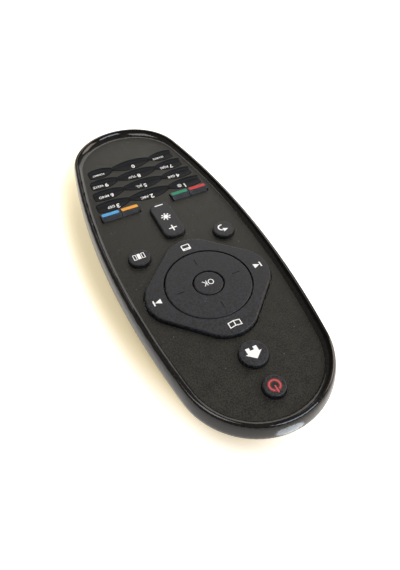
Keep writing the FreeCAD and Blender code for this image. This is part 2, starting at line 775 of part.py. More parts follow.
# Battery bay walls and ceiling, held up by two rails that the cover's tabs slide in.
def make_innards():
    body = new_body("ShellInnards")
    floor = "bayFloor"
    outside = new_sketch(body, "bay", floor)
    draw_box(outside, "-bayHalfWidth - bayWall", "bayHalfWidth + bayWall",
             f"bayRear - bayWall", "bayFront + bayWall")
    pad(body, outside, f"bayCeiling + bayWall - {floor}")
    inside = new_sketch(body, "cells", "bayCeiling")
    draw_box(inside, "-bayHalfWidth", "bayHalfWidth", "bayRear", "bayFront")
    pocket(body, inside, f"bayCeiling - {floor}")
    notch = new_sketch(body, "notch", "shellWall + tongueThickness + 3 * coverGap")
    draw_box(notch, "-tongueHalfWidth - coverGap", "tongueHalfWidth + coverGap",
             "bayFront - coverGap", "bayFront + bayWall + coverGap")
    pocket(body, notch, f"shellWall + tongueThickness + 3 * coverGap - {floor}")
    rails = new_sketch(body, "rails", "railLength / 2 - coverFront + bayWall", "XZ_Plane")
    shelf = f"(coverSill + coverTabHeight + coverGap)"
    near = "(coverHalfWidth + coverTabReach + coverGap)"
    for side in (1, -1):
        points = [
            (f"{side} * (bayHalfWidth + bayWall / 2)", shelf), (f"{side} * {near}", shelf),
            (f"{side} * {near}", floor), (f"{side} * ({near} + bayWall)", floor),
            (f"{side} * ({near} + bayWall)", f"{shelf} + bayWall"),
            (f"{side} * (bayHalfWidth + bayWall / 2)", f"{shelf} + bayWall"),
        ]
        draw_chain(rails, points)
    pad_both_ways(body, rails, "railLength")
    return body


def make_rests():
    posts = []
    for index, (x, y) in enumerate(rest_places):
        post = doc.addObject("Part::Cylinder", f"BoardRest{index}")
        post.setExpression("Radius", formula("restRadius"))
        post.setExpression("Height", formula("boardUnder"))
        posts.append(place(post, x, y))
    return compound("BoardRests", posts)


# The cover is the part of the hull's skin inside the seam; the shell keeps the rest.
def make_back_parts():
    outer = make_hull("HullOutside", "0")
    inner = make_hull("HullInside", "shellWall")
    clear = make_hull("HullClear", "shellWall + coverGap")
    skin = boolean("Cut", "HullSkin", outer, inner)
    posts = boolean("Common", "RestsInside", make_rests(), outer)
    ribbed = boolean("Fuse", "RibbedSkin", skin, posts)
    whole = boolean("Fuse", "WholeShell", ribbed, make_innards())
    gap = "coverGap"
    region = block("CoverRegion", f"-coverHalfWidth - {gap}", f"coverHalfWidth + {gap}",
                   "-rearReach", f"coverFront + {gap}", "-1", f"coverHeight + {gap}")
    seam = boolean("Cut", "CoverSeam", region, clear)
    opened = boolean("Cut", "OpenedShell", whole, seam)
    gap = "windowGap"
    hole = block("WindowHole", f"-windowHalfWidth - {gap}", f"windowHalfWidth + {gap}",
                 "halfLength - windowDepth", "halfLength + windowDepth", f"windowLow - {gap}",
                 f"windowHigh + {gap}")
    label(boolean("Cut", "BackShell", opened, hole), "back_shell")
    pane = block("WindowRegion", "-windowHalfWidth", "windowHalfWidth",
                 "halfLength - windowDepth", "halfLength + windowDepth", "windowLow", "windowHigh")
    label(boolean("Common", "IrWindow", skin, pane), "ir_window")
    lid = block("LidRegion", "-coverHalfWidth", "coverHalfWidth",
                "-rearReach", "coverFront", "-1", "coverHeight")
    plain_lid = boolean("Common", "PlainCover", skin, lid)
    fitted = boolean("Fuse", "FittedCover", plain_lid, make_cover_fittings())
    label(boolean("Cut", "BatteryCover", fitted, make_grip()), "battery_cover")


# Four tabs hook over the edges of the opening, and a tongue holds the front edge.
def make_cover_fittings():
    body = new_body("CoverFittings")
    tongue = new_sketch(body, "tongue", "0", "YZ_Plane")
    low = "bayFloor"
    high = "(shellWall + coverGap + tongueThickness)"
    draw_chain(tongue, [
        ("coverFront - tongueLength", low), ("coverFront", low),
        ("coverFront", "shellWall + coverGap"), ("coverFront + tongueLength", "shellWall + coverGap"),
        ("coverFront + tongueLength", high), ("coverFront - tongueLength", high),
    ])
    pad_both_ways(body, tongue, "2 * tongueHalfWidth")
    hooks = []
    for side in (1, -1):
        for index in (0, 1):
            hook = new_body(f"CoverTab{index}{'R' if side > 0 else 'L'}")
            shape = new_sketch(hook, "hook", "0", "XZ_Plane")
            root = "(bayHalfWidth + bayWall + 1.5 * coverGap)"
            tip = "(coverHalfWidth + coverTabReach)"
            points = [
                (f"{side} * {root}", low), (f"{side} * coverHalfWidth", low),
                (f"{side} * coverHalfWidth", "coverSill"), (f"{side} * {tip}", "coverSill"),
                (f"{side} * {tip}", f"coverSill + coverTabHeight"),
                (f"{side} * {root}", f"coverSill + coverTabHeight"),
            ]
            draw_chain(shape, points)
            pad_both_ways(hook, shape, "coverTabLength")
            hooks.append(place(hook, y=f"coverFront - coverTabSetback - {index} * coverTabSpacing"))
    return boolean("Fuse", "CoverFittingsAll", body, compound("CoverTabs", hooks))


# Three shallow grooves for the thumb.
def make_grip():
    grooves = []
    for index in (0, 1, 2):
        groove = block(f"Groove{index}", "-gripLength / 2", "gripLength / 2",
                       f"coverFront - gripSetback - {index} * gripPitch - gripWidth",
                       f"coverFront - gripSetback - {index} * gripPitch", "-1", "gripDepth")
        grooves.append(groove)
    return compound("Grip", grooves)


# A cell lies along Y with its nub at the front; the second one is turned round.
def make_cells():
    for node, side in (("battery_cell_left", -1), ("battery_cell_right", 1)):
        body = new_body("Cell" + ("Left" if side < 0 else "Right"))
        shape = new_sketch(body, "profile")
        points = [
            ("0", "-cellLength / 2"), ("cellRadius - cellBevel", "-cellLength / 2"),
            ("cellRadius", "-cellLength / 2 + cellBevel"),
            ("cellRadius", "cellLength / 2 - cellNubLength - cellBevel"),
            ("cellRadius - cellBevel", "cellLength / 2 - cellNubLength"),
            ("cellNubRadius", "cellLength / 2 - cellNubLength"), ("cellNubRadius", "cellLength / 2"),
            ("0", "cellLength / 2"),
        ]
        draw_chain(shape, points)
        revolve(body, shape, "Y_Axis")
        middle = f"(bayRear + springReach + cellLength / 2)"
        if side < 0:
            middle = f"(bayRear + contactReach + cellLength / 2)"
            body.Placement.Rotation = FreeCAD.Rotation(Vector(0, 0, 1), 180)
        place(body, f"{side} * cellSpacing / 2", middle, "cellCentre")
        label(body, node)


# A bent strip presses on the flat end of each cell, and a plate with a boss meets each nub.
def make_contacts():
    springs = []
    plates = []
    for side in (-1, 1):
        mark = "Left" if side < 0 else "Right"
        spring = new_body("Spring" + mark)
        shape = new_sketch(spring, "strip", "0", "YZ_Plane")
        thick = "contactThickness"
        low, high = "-cellRadius * 0.7", "cellRadius * 0.85"
        points = [
            ("0", low), (thick, f"{low} - {thick}"), ("springReach", "0"),
            (f"springReach - {thick} * 2", "cellRadius * 0.5"),
            (f"springReach - {thick} * 3", "cellRadius * 0.5"),
            (f"springReach - {thick} * 1.3", "0"), (thick, f"{low} + {thick}"),
            (thick, high), ("0", high),
        ]
        draw_chain(shape, points)
        pad_both_ways(spring, shape, "contactWidth")
        plate = new_body("Plate" + mark)
        disc = new_sketch(plate, "sheet", "0", "XZ_Plane")
        draw_rounded_box(disc, "0", "0", "contactWidth / 2", "cellRadius * 0.8",
                         "contactCorner")
        pad(plate, disc, "contactThickness")
        boss = new_sketch(plate, "boss", "0", "XZ_Plane")
        draw_circle(boss, "0", "0", "cellNubRadius")
        pad(plate, boss, "contactReach")
        x = f"{side} * cellSpacing / 2"
        if side > 0:
            place(spring, x, "bayRear", "cellCentre")
            place(plate, x, "bayFront", "cellCentre")
        else:
            half_turn = FreeCAD.Rotation(Vector(0, 0, 1), 180)
            spring.Placement.Rotation = half_turn
            plate.Placement.Rotation = half_turn
            place(spring, x, "bayFront", "cellCentre")
            place(plate, x, "bayRear", "cellCentre")
        springs.append(spring)
        plates.append(plate)
    label(compound("ContactSprings", springs), "contact_springs")
    label(compound("ContactPlates", plates), "contact_plates")


def make_board():
    body = new_body("CircuitBoard")
    shape = new_sketch(body, "shape", "boardUnder")
    draw_outline(shape, "boardInset", "boardInsetFront")
    pad(body, shape, "boardThickness")
    holes = new_sketch(body, "holes", "boardTop")
    for x, y in boss_places:
        draw_circle(holes, x, y, "pilotRadius")
    pocket(body, holes, "boardThickness")
    label(body, "circuit_board")


# The switch mat has a well around each dome contact and low ribs that the rocking parts tilt on.
def make_mat():
    body = new_body("KeypadMat")
    shape = new_sketch(body, "shape", "boardTop")
    draw_outline(shape, "matInset", None, "matInsetRear")
    pad(body, shape, "matThickness")
    ribs = new_sketch(body, "ribs", "matTop")
    spans = [
        ("okRadius + navGap + ribReach", "ringPlunger - plungerHole - ribEndGap"),
        ("ringRadius + navGap + ribGap", "padPlunger - plungerHole - ribEndGap"),
    ]
    for near, far in spans:
        for low, high in ((f"-({far})", f"-({near})"), (near, far)):
            draw_box(ribs, low, high, "navPlace - ribWidth / 2", "navPlace + ribWidth / 2")
    pad(body, ribs, "ribHeight")
    rocker_rib = new_sketch(body, "rocker_rib", "matTop")
    draw_box(rocker_rib, "-rockerWidth * 0.4", "rockerWidth * 0.4",
             "rockerPlace - ribWidth / 2", "rockerPlace + ribWidth / 2")
    pad(body, rocker_rib, f"rockerFlangeUnder - matTop - ribGap")
    wells = new_sketch(body, "wells", "matTop")
    for x, y in switch_places:
        draw_circle(wells, x, y, "matHoleRadius")
    for x, y in boss_places:
        draw_circle(wells, x, y, "bossRadius + keyGap")
    pocket(body, wells, "matThickness")
    label(body, "keypad_mat")


def make_domes():
    domes = []
    for index, (x, y) in enumerate(switch_places):
        dome = doc.addObject("Part::Cone", f"Dome{index}")
        dome.setExpression("Radius1", formula("domeRadius"))
        dome.setExpression("Radius2", formula("domeRadius / 2"))
        dome.setExpression("Height", formula("domeHeight"))
        domes.append(place(dome, x, y, "boardTop"))
    label(compound("DomeContacts", domes), "dome_contacts")


def make_screws():
    screws = []
    for index, (x, y) in enumerate(boss_places):
        body = new_body(f"Screw{index}")
        shape = new_sketch(body, "profile", "0", "XZ_Plane")
        points = [
            ("0", "-screwHeadHeight"), ("screwHeadRadius * 0.8", "-screwHeadHeight"),
            ("screwHeadRadius", "-screwHeadHeight / 2"), ("screwHeadRadius", "0"),
            ("screwRadius", "0"), ("screwRadius", "screwLength - screwRadius"), ("0", "screwLength"),
        ]
        draw_chain(shape, points)
        revolve(body, shape, "Z_Axis")
        screws.append(place(body, x, y, "boardUnder"))
    label(compound("BoardScrews", screws), "board_screws")


def make_electronics():
    chip = new_body("ControllerChip")
    shape = new_sketch(chip, "shape", "boardUnder")
    draw_rounded_box(shape, "0", "chipPlace", "chipSize / 2", "chipSize / 2", "0.4")
    pad(chip, shape, "chipThickness", down=True)
    leads = new_sketch(chip, "leads", "boardUnder")
    for sign in (-1, 1):
        for index in range(chip_leads):
            y = f"chipPlace + ({index} - {(chip_leads - 1) / 2}) * chipSize / {chip_leads + 1}"
            edges = [f"{sign} * (chipSize - chipLeadLength) / 2",
                     f"{sign} * (chipSize / 2 + chipLeadLength)"]
            if sign < 0:
                edges.reverse()
            draw_box(leads, *edges, f"{y} - chipLeadWidth / 2", f"{y} + chipLeadWidth / 2")
    pad(chip, leads, "chipLeadThickness", down=True)
    label(chip, "controller_chip")
    resonator = new_body("Resonator")
    shape = new_sketch(resonator, "shape", "boardUnder")
    draw_rounded_box(shape, "chipSize", "chipPlace + chipSize", "resonatorLength / 2",
                     "resonatorWidth / 2", "resonatorWidth / 2 - 0.1")
    pad(resonator, shape, "resonatorHeight", down=True)
    label(resonator, "resonator")
    capacitor = new_body("Capacitor")
    shape = new_sketch(capacitor, "profile", "0", "XZ_Plane")
    draw_chain(shape, [
        ("0", "-capacitorLength"), ("capacitorRadius - capacitorCrimp", "-capacitorLength"),
        ("capacitorRadius", "-capacitorLength + capacitorCrimp"),
        ("capacitorRadius", "-4 * capacitorCrimp"),
        ("capacitorRadius - capacitorCrimp", "-3 * capacitorCrimp"),
        ("capacitorRadius", "-2 * capacitorCrimp"), ("capacitorRadius", "0"), ("0", "0"),
    ])
    revolve(capacitor, shape, "Z_Axis")
    place(capacitor, "-chipSize * 1.2", "chipPlace + chipSize", "boardUnder")
    label(capacitor, "capacitor")


# Two infrared emitters look out through the window, and their leads rise to the board.
def make_leds():
    inset = hull_inset("bilgeInsetFront", "hullDraftFront", "shellWall", "ledShare")
    for node, side in (("ir_led_left", -1), ("ir_led_right", 1)):
        body = new_body("IrLed" + ("Left" if side < 0 else "Right"))
        shape = new_sketch(body, "profile")
        points = [
            ("0", "-ledLength - ledCollarLength"),
            ("ledRadius + ledCollar", "-ledLength - ledCollarLength"),
            ("ledRadius + ledCollar", "-ledLength"), ("ledRadius", "-ledLength"),
            ("ledRadius", "-ledRadius"), ("0", "0"),
        ]
        draw_chain(shape, points, {4: "ledRadius"})
        revolve(body, shape, "Y_Axis")
        for lead in (-1, 1):
            wire = new_sketch(body, f"lead{'A' if lead < 0 else 'B'}",
                              f"{lead} * ledLeadSpacing / 2", "YZ_Plane")
            start = "-ledLength - ledCollarLength / 2"
            draw_chain(wire, [
                (start, "-ledLeadWidth / 2"), (f"{start} - ledLeadReach", "-ledLeadWidth / 2"),
                (f"{start} - ledLeadReach", "boardUnder - ledHeight"),
                (f"{start} - ledLeadReach + ledLeadWidth", "boardUnder - ledHeight"),
                (f"{start} - ledLeadReach + ledLeadWidth", "ledLeadWidth / 2"),
                (start, "ledLeadWidth / 2"),
            ])
            pad_both_ways(body, wire, "ledLeadWidth")
        place(body, f"{side} * ledSpacing / 2",
              f"wideLine + frontReach - ({inset}) - ledSetback", "ledHeight")
        label(body, node)


# A round key is turned in one piece: rounded cap, retaining flange under the plate, and stem.
def make_round_key(node, x, y, radius):
    body = new_body(node.title().replace("_", ""))
    shape = new_sketch(body, "profile", "0", "XZ_Plane")
    flange = f"({radius} + keyGap + flangeReach)"
    points = [
        ("0", "stemUnder"), ("stemRadius", "stemUnder"), ("stemRadius", "flangeUnder"),
        (flange, "flangeUnder"), (flange, "flangeTop"), (radius, "flangeTop"),
        (radius, f"keyTop - keyEdge"), (f"{radius} - keyEdge", "keyTop"), ("0", "keyTop"),
    ]
    draw_chain(shape, points, {6: "keyEdge"})
    revolve(body, shape, "Z_Axis")
    place(body, x, y)
    label(body, node)


def make_ok_key():
    body = new_body("OkKey")
    shape = new_sketch(body, "profile", "0", "XZ_Plane")
    flange = "(okRadius + navGap + flangeReach)"
    top = f"(padUnder - keyGap - ridgeGap)"
    under = f"({top} - rockerFlange)"
    points = [
        ("0", "stemUnder"), ("stemRadius", "stemUnder"), ("stemRadius", under), (flange, under),
        (flange, top), ("okRadius", top), ("okRadius", f"keyTop - keyEdge"),
        ("okRadius - keyEdge", "keyTop"), ("0", "keyTop"),
    ]
    draw_chain(shape, points, {6: "keyEdge"})
    revolve(body, shape, "Z_Axis")
    place(body, y="navPlace")
    label(body, "ok_key")


# The cursor ring tilts left and right on its support, and the support tilts front and back.
def make_cursor_ring():
    body = new_body("CursorRing")
    shape = new_sketch(body, "profile", "0", "XZ_Plane")
    hole = "(okRadius + navGap)"
    points = [
        (hole, "padUnder"), ("ringRadius", "padUnder"), ("ringRadius", f"keyTop - keyEdge"),
        ("ringRadius - keyEdge", "keyTop"), (f"{hole} + keyEdge / 2", "keyTop"),
        (hole, f"keyTop - keyEdge / 2"),
    ]
    draw_chain(shape, points, {2: "keyEdge", 4: "keyEdge / 2"})
    revolve(body, shape, "Z_Axis")
    tick = new_sketch(body, "tick", "keyTop")
    draw_box(tick, "tickInner", "tickOuter", "-tickWidth / 2", "tickWidth / 2")
    groove = pocket(body, tick, "tickDepth")
    pattern = body.newObject("PartDesign::PolarPattern", "Ticks")
    pattern.Originals = [groove]
    pattern.Axis = (origin_part(body, "Z_Axis"), [""])
    pattern.Angle = 360
    pattern.Occurrences = 4
    body.Tip = pattern
    pins = new_sketch(body, "plungers", "padUnder")
    draw_circle(pins, "ringPlunger", "0", "plungerRadius")
    draw_circle(pins, "-ringPlunger", "0", "plungerRadius")
    pad(body, pins, f"padUnder - stemUnder", down=True)
    place(body, y="navPlace")
    label(body, "cursor_ring")


def make_support(node, plunger, near, far, draw_rim):
    body = new_body(node.title().replace("_", ""))
    shape = new_sketch(body, "shape", "actuatorUnder")
    draw_rim(shape)
    draw_circle(shape, "0", "0", near)
    draw_circle(shape, plunger, "0", "plungerHole")
    draw_circle(shape, f"-{plunger}", "0", "plungerHole")
    pad(body, shape, "actuatorThickness")
    pins = new_sketch(body, "plungers", "actuatorUnder")
    draw_circle(pins, "0", plunger, "plungerRadius")
    draw_circle(pins, "0", f"-{plunger}", "plungerRadius")
    pad(body, pins, f"actuatorUnder - stemUnder", down=True)
    ridges = new_sketch(body, "ridges", "actuatorTop")
    draw_box(ridges, "-ribWidth / 2", "ribWidth / 2", near, far)
    draw_box(ridges, "-ribWidth / 2", "ribWidth / 2", f"-({far})", f"-({near})")
    pad(body, ridges, "ridgeHeight")
    place(body, y="navPlace")
    label(body, node)


def make_nav_pad():
    body = new_body("NavPad")
    shape = new_sketch(body, "shape", "padUnder")
    draw_diamond(shape, "0")
    draw_circle(shape, "0", "0", "ringRadius + navGap")
    pad(body, shape, f"keyTop - padUnder")

    def outer(edge):
        return edge.BoundBox.DiagonalLength < value("ringRadius * 2.6")
    round_edges(body, "keyTop", "padEdge", outer)
    doc.recompute()
    pins = new_sketch(body, "plungers", "padUnder")
    draw_circle(pins, "padPlunger", "0", "plungerRadius")
    draw_circle(pins, "-padPlunger", "0", "plungerRadius")
    pad(body, pins, f"padUnder - stemUnder", down=True)
    place(body, y="navPlace")
    label(body, "nav_pad")


def make_rocker():
    body = new_body("RockerKey")
    shape = new_sketch(body, "shape", "rockerFlangeUnder")
    draw_rounded_box(shape, "0", "0", "rockerWidth / 2", "rockerLength / 2", "rockerCorner")
    pad(body, shape, f"keyTop - rockerFlangeUnder")
    round_edges(body, "keyTop", "keyEdge")
    doc.recompute()
    flange = new_sketch(body, "flange", "rockerFlangeUnder")
    reach = "keyGap + flangeReach"
    draw_rounded_box(flange, "0", "0", f"rockerWidth / 2 + {reach}", f"rockerLength / 2 + {reach}",
                     f"rockerCorner + {reach}")
    pad(body, flange, "rockerFlange")
    pins = new_sketch(body, "plungers", "rockerFlangeUnder")
    draw_circle(pins, "0", "rockerPlunger", "plungerRadius")
    draw_circle(pins, "0", "-rockerPlunger", "plungerRadius")
    pad(body, pins, f"rockerFlangeUnder - stemUnder", down=True)
    place(body, y="rockerPlace")
    label(body, "rocker_key")


def add_flange_and_stem(body, left, right, low, high, stem_y):
    flange = new_sketch(body, "flange", "flangeUnder")
    draw_box(flange, left, right, low, high)
    pad(body, flange, "flangeThickness")
    stem = new_sketch(body, "stem", "flangeUnder")
    draw_circle(stem, "0", stem_y, "stemRadius")
    pad(body, stem, f"flangeUnder - stemUnder", down=True)


# A plan with the two corners rounded that lie at the outer end of a pair of keys.
def draw_end_rounded_box(sketch, side, half, depth, corner):
    middle = f"-({depth}) / 2"
    points = []
    for x, y in (
        (f"-{half}", "-1"), (f"({half} - {corner})", "-1"), (half, f"-1 + 2 * {corner} / {depth}"),
        (half, f"1 - 2 * {corner} / {depth}"), (f"({half} - {corner})", "1"), (f"-{half}", "1"),
    ):
        points.append((f"{side} * ({x})", f"{middle} + {side} * ({y}) * {depth} / 2"))
    draw_chain(sketch, points, {1: corner, 3: corner})


# A coloured key is a low wedge: its plan, then everything above its side view cut away, which
# leaves a steep front, a crest and a top that falls gently to the rear.
def make_colour_key(node, left, right, side):
    body = new_body(node.title().replace("_", ""))
    half = f"((({right}) - ({left})) / 2)"
    plan = new_sketch(body, "plan", "flangeUnder")
    draw_end_rounded_box(plan, side, half, "colourDepth", "colourCorner")
    pad(body, plan, "keyTop - flangeUnder")
    above = new_sketch(body, "above", "0", "YZ_Plane")
    points = [
        ("1", "plateTop"), ("0", "plateTop"),
        ("-colourCrest + crestRound / 3", "keyTop - crestRound / 2"),
        ("-colourCrest - crestRound / 2", "keyTop"),
        ("-colourDepth + crestRound", "keyTop - colourFall"),
        ("-colourDepth", "keyTop - colourFall - crestRound"),
        ("-colourDepth - 1", "keyTop - colourFall - crestRound"),
        ("-colourDepth - 1", "keyTop + 1"), ("1", "keyTop + 1"),
    ]
    draw_chain(above, points, {2: "crestRound", 4: "crestRound"})
    cut = pocket(body, above, f"2 * {half} + 2")
    cut.SideType = "Symmetric"
    reach = "(keyGap + flangeReachSmall)"
    add_flange_and_stem(body, f"-{half}", half, f"-colourDepth - {reach}", reach, "-colourDepth / 2")
    place(body, f"(({left}) + ({right})) / 2", "colourPlace")
    label(body, node)


# The side view of a number key at one station: a thin apron, a scooped wall that rises from its
# foot to a narrow crest, and a back that falls to the face.
def draw_ridge(sketch, kind):
    height, reach, back, crest = f"{kind}Height", f"{kind}Reach", f"{kind}Back", f"{kind}Crest"
    scoop = f"(({height} - 3 * {crest} / 4 - apronHeight) / (1 - cos(scoopTurn * 1deg)))"
    brow = f"(plateTop + {height} - 3 * {crest} / 4)"
    brow_y = f"(footLead - {scoop} * sin(scoopTurn * 1deg))"
    points = [
        (reach, "flangeUnder"), (reach, "plateTop + apronEdge"),
        ("footLead", "plateTop + apronHeight"),
        (brow_y, brow), (f"{brow_y} - crestSpread * {crest}", brow),
        (f"-{back}", "plateTop"), (f"-{back}", "flangeUnder"),
    ]
    draw_chain(sketch, points, {2: f"-{scoop}", 3: crest})


# A number key swells from a low neck to its middle, and stays tall at the row's end.
def make_number_key(node, row, left, right, left_kind, right_kind):
    body = new_body(node.title().replace("_", ""))
    half = f"((({right}) - ({left})) / 2)"
    stations = []
    for mark, x, kind in (("left", f"-{half}", left_kind), ("middle", "0", "number"),
                          ("right", half, right_kind)):
        sketch = new_sketch(body, mark, x, "YZ_Plane")
        draw_ridge(sketch, kind)
        stations.append(sketch)
    loft(body, stations)
    reach = "(keyGap + flangeReachSmall)"
    add_flange_and_stem(body, f"flangeShort - {half}", f"{half} - flangeShort",
                        f"-numberBack - {reach}", f"numberReach + {reach}", "numberStem")
    place(body, f"(({left}) + ({right})) / 2", f"rowLine{row}")
    label(body, node)


make_top_frame()
make_face_plate()
make_back_parts()
make_cells()
make_contacts()
make_board()
make_mat()
make_domes()
make_screws()
make_electronics()
make_leds()
for key, (x, y, radius) in round_keys.items():
    make_round_key(key, x, y, radius)
make_ok_key()
make_cursor_ring()
make_support("ring_support", "ringPlunger", "okRadius + navGap + supportInset",
             "ringPlunger - plungerHole - plungerMargin",
             lambda sketch: draw_circle(sketch, "0", "0", "ringRadius - actuatorInset"))
make_nav_pad()
make_support("pad_support", "padPlunger", "ringRadius + supportOverlap",
             "padPlunger - plungerHole - plungerMargin",
             lambda sketch: draw_diamond(sketch, "0", "actuatorMargin"))
make_rocker()
for key, (left, right, side) in colour_keys.items():
    make_colour_key(key, left, right, side)
for key, (row, left, right, left_kind, right_kind) in number_keys.items():
    make_number_key(key, row, left, right, left_kind, right_kind)

doc.recompute()
for piece in doc.Objects:
    if "Invalid" in piece.State or "Error" in piece.State:
        raise RuntimeError(f"{piece.Name} did not compute")
for node, piece in nodes.items():
    if piece.Shape.isNull() or not piece.Shape.isValid():
        raise RuntimeError(f"{node} has no sound shape")
os.makedirs("parts", exist_ok=True)
for node, piece in nodes.items():
    piece.Shape.exportStep(f"parts/{node}.step")
    print(node, len(piece.Shape.Solids), round(piece.Shape.Volume, 2))
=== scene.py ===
import json
import math

import bpy
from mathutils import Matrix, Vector


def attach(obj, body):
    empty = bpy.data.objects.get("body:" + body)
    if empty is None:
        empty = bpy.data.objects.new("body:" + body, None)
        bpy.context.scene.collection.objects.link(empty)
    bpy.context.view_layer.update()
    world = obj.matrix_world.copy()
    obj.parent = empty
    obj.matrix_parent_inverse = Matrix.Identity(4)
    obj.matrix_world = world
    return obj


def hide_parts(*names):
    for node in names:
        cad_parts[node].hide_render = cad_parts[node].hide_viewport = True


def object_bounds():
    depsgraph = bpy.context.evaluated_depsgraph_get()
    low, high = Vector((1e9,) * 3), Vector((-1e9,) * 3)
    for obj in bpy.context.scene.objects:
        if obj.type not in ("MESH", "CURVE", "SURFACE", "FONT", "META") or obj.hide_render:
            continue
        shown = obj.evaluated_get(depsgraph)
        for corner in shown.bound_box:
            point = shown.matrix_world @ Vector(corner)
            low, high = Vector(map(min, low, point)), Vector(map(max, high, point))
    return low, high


# Television remote control, dressed round its CAD frame. Metres, +Y towards the infrared window.

mm = 0.001

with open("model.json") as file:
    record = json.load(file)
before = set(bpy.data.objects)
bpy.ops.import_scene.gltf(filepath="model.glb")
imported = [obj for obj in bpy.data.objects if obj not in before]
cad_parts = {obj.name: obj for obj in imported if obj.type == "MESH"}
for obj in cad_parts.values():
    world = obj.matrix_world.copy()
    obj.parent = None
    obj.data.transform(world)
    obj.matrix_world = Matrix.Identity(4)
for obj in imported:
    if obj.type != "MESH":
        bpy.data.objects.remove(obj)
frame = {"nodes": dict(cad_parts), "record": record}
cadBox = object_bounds()
print("Frame loaded:", len(frame["nodes"]), "nodes")


def clearSelection():
    if bpy.context.object and bpy.context.object.mode != "OBJECT":
        bpy.ops.object.mode_set(mode="OBJECT")
    bpy.ops.object.select_all(action="DESELECT")


def pick(piece):
    clearSelection()
    piece.select_set(True)
    bpy.context.view_layer.objects.active = piece


def applyPlace(piece):
    pick(piece)
    bpy.ops.object.transform_apply(location=True, rotation=True, scale=True)


# Groups and links for the shaders that the finishes share.
def newGroup(name, inputs, outputs):
    group = bpy.data.node_groups.new(name, "ShaderNodeTree")
    for label, start in inputs:
        socket = group.interface.new_socket(label, in_out="INPUT", socket_type="NodeSocketFloat")
        socket.default_value = start
    for label, kind in outputs:
        group.interface.new_socket(label, in_out="OUTPUT", socket_type=kind)
    return group, group.nodes.new("NodeGroupInput"), group.nodes.new("NodeGroupOutput")


def addNode(tree, kind, **values):
    node = tree.nodes.new(kind)
    for key, setting in values.items():
        setattr(node, key, setting)
    return node


def link(tree, source, target):
    tree.links.new(source, target)


# Moulded texture: a fine spark-eroded grain with a slower unevenness under it.
grainShape = {
    "detail": 3.0, "slowScale": 220.0, "cellShare": 0.4, "slowShare": 0.2, "fleck": (0.55, 0.67),
}


def makeGrainGroup():
    group, start, end = newGroup(
        "mouldGrain", [("Scale", 3000.0), ("Roughening", 0.5)],
        [("Height", "NodeSocketFloat"), ("Fleck", "NodeSocketFloat")])
    place = addNode(group, "ShaderNodeTexCoord")
    fine = addNode(group, "ShaderNodeTexNoise")
    fine.inputs["Detail"].default_value = grainShape["detail"]
    slow = addNode(group, "ShaderNodeTexNoise")
    slow.inputs["Scale"].default_value = grainShape["slowScale"]
    cells = addNode(group, "ShaderNodeTexVoronoi")
    link(group, place.outputs["Object"], fine.inputs["Vector"])
    link(group, place.outputs["Object"], slow.inputs["Vector"])
    link(group, place.outputs["Object"], cells.inputs["Vector"])
    link(group, start.outputs["Scale"], fine.inputs["Scale"])
    link(group, start.outputs["Roughening"], fine.inputs["Roughness"])
    link(group, start.outputs["Scale"], cells.inputs["Scale"])
    blend = addNode(group, "ShaderNodeMath", operation="MULTIPLY_ADD")
    blend.inputs[1].default_value = grainShape["cellShare"]
    link(group, cells.outputs["Distance"], blend.inputs[0])
    link(group, fine.outputs["Fac"], blend.inputs[2])
    link(group, blend.outputs[0], end.inputs["Height"])
    fleck = addNode(group, "ShaderNodeMath", operation="MULTIPLY_ADD")
    fleck.inputs[1].default_value = grainShape["slowShare"]
    spread = addNode(group, "ShaderNodeMapRange")
    spread.inputs["From Min"].default_value = grainShape["fleck"][0]
    spread.inputs["From Max"].default_value = grainShape["fleck"][1]
    link(group, slow.outputs["Fac"], fleck.inputs[0])
    link(group, fine.outputs["Fac"], fleck.inputs[2])
    link(group, fleck.outputs[0], spread.inputs["Value"])
    link(group, spread.outputs["Result"], end.inputs["Fleck"])
    return group


# Finger marks on gloss: broad soft smears and a few fine hairlines.
smearShape = {
    "detail": 5.0, "distortion": 1.2, "ramp": (0.48, 0.75),
    "stretch": (1.0, 0.06, 1.0), "hairScale": 2600.0, "hairRamp": (0.7, 0.76),
}


def makeSmearGroup():
    group, start, end = newGroup(
        "fingerSmears", [("Scale", 60.0), ("Amount", 0.5)], [("Mask", "NodeSocketFloat")])
    place = addNode(group, "ShaderNodeTexCoord")
    broad = addNode(group, "ShaderNodeTexNoise")
    broad.inputs["Detail"].default_value = smearShape["detail"]
    broad.inputs["Distortion"].default_value = smearShape["distortion"]
    ramp = addNode(group, "ShaderNodeValToRGB")
    ramp.color_ramp.elements[0].position = smearShape["ramp"][0]
    ramp.color_ramp.elements[1].position = smearShape["ramp"][1]
    stretch = addNode(group, "ShaderNodeMapping")
    stretch.inputs["Scale"].default_value = smearShape["stretch"]
    hair = addNode(group, "ShaderNodeTexNoise")
    hair.inputs["Scale"].default_value = smearShape["hairScale"]
    hairRamp = addNode(group, "ShaderNodeValToRGB")
    hairRamp.color_ramp.elements[0].position = smearShape["hairRamp"][0]
    hairRamp.color_ramp.elements[1].position = smearShape["hairRamp"][1]
    total = addNode(group, "ShaderNodeMath", operation="MAXIMUM")
    scaled = addNode(group, "ShaderNodeMath", operation="MULTIPLY")
    link(group, place.outputs["Object"], broad.inputs["Vector"])
    link(group, start.outputs["Scale"], broad.inputs["Scale"])
    link(group, broad.outputs["Fac"], ramp.inputs["Fac"])
    link(group, place.outputs["Object"], stretch.inputs["Vector"])
    link(group, stretch.outputs["Vector"], hair.inputs["Vector"])
    link(group, hair.outputs["Fac"], hairRamp.inputs["Fac"])
    link(group, ramp.outputs["Color"], total.inputs[0])
    link(group, hairRamp.outputs["Color"], total.inputs[1])
    link(group, total.outputs[0], scaled.inputs[0])
    link(group, start.outputs["Amount"], scaled.inputs[1])
    link(group, scaled.outputs[0], end.inputs["Mask"])
    return group


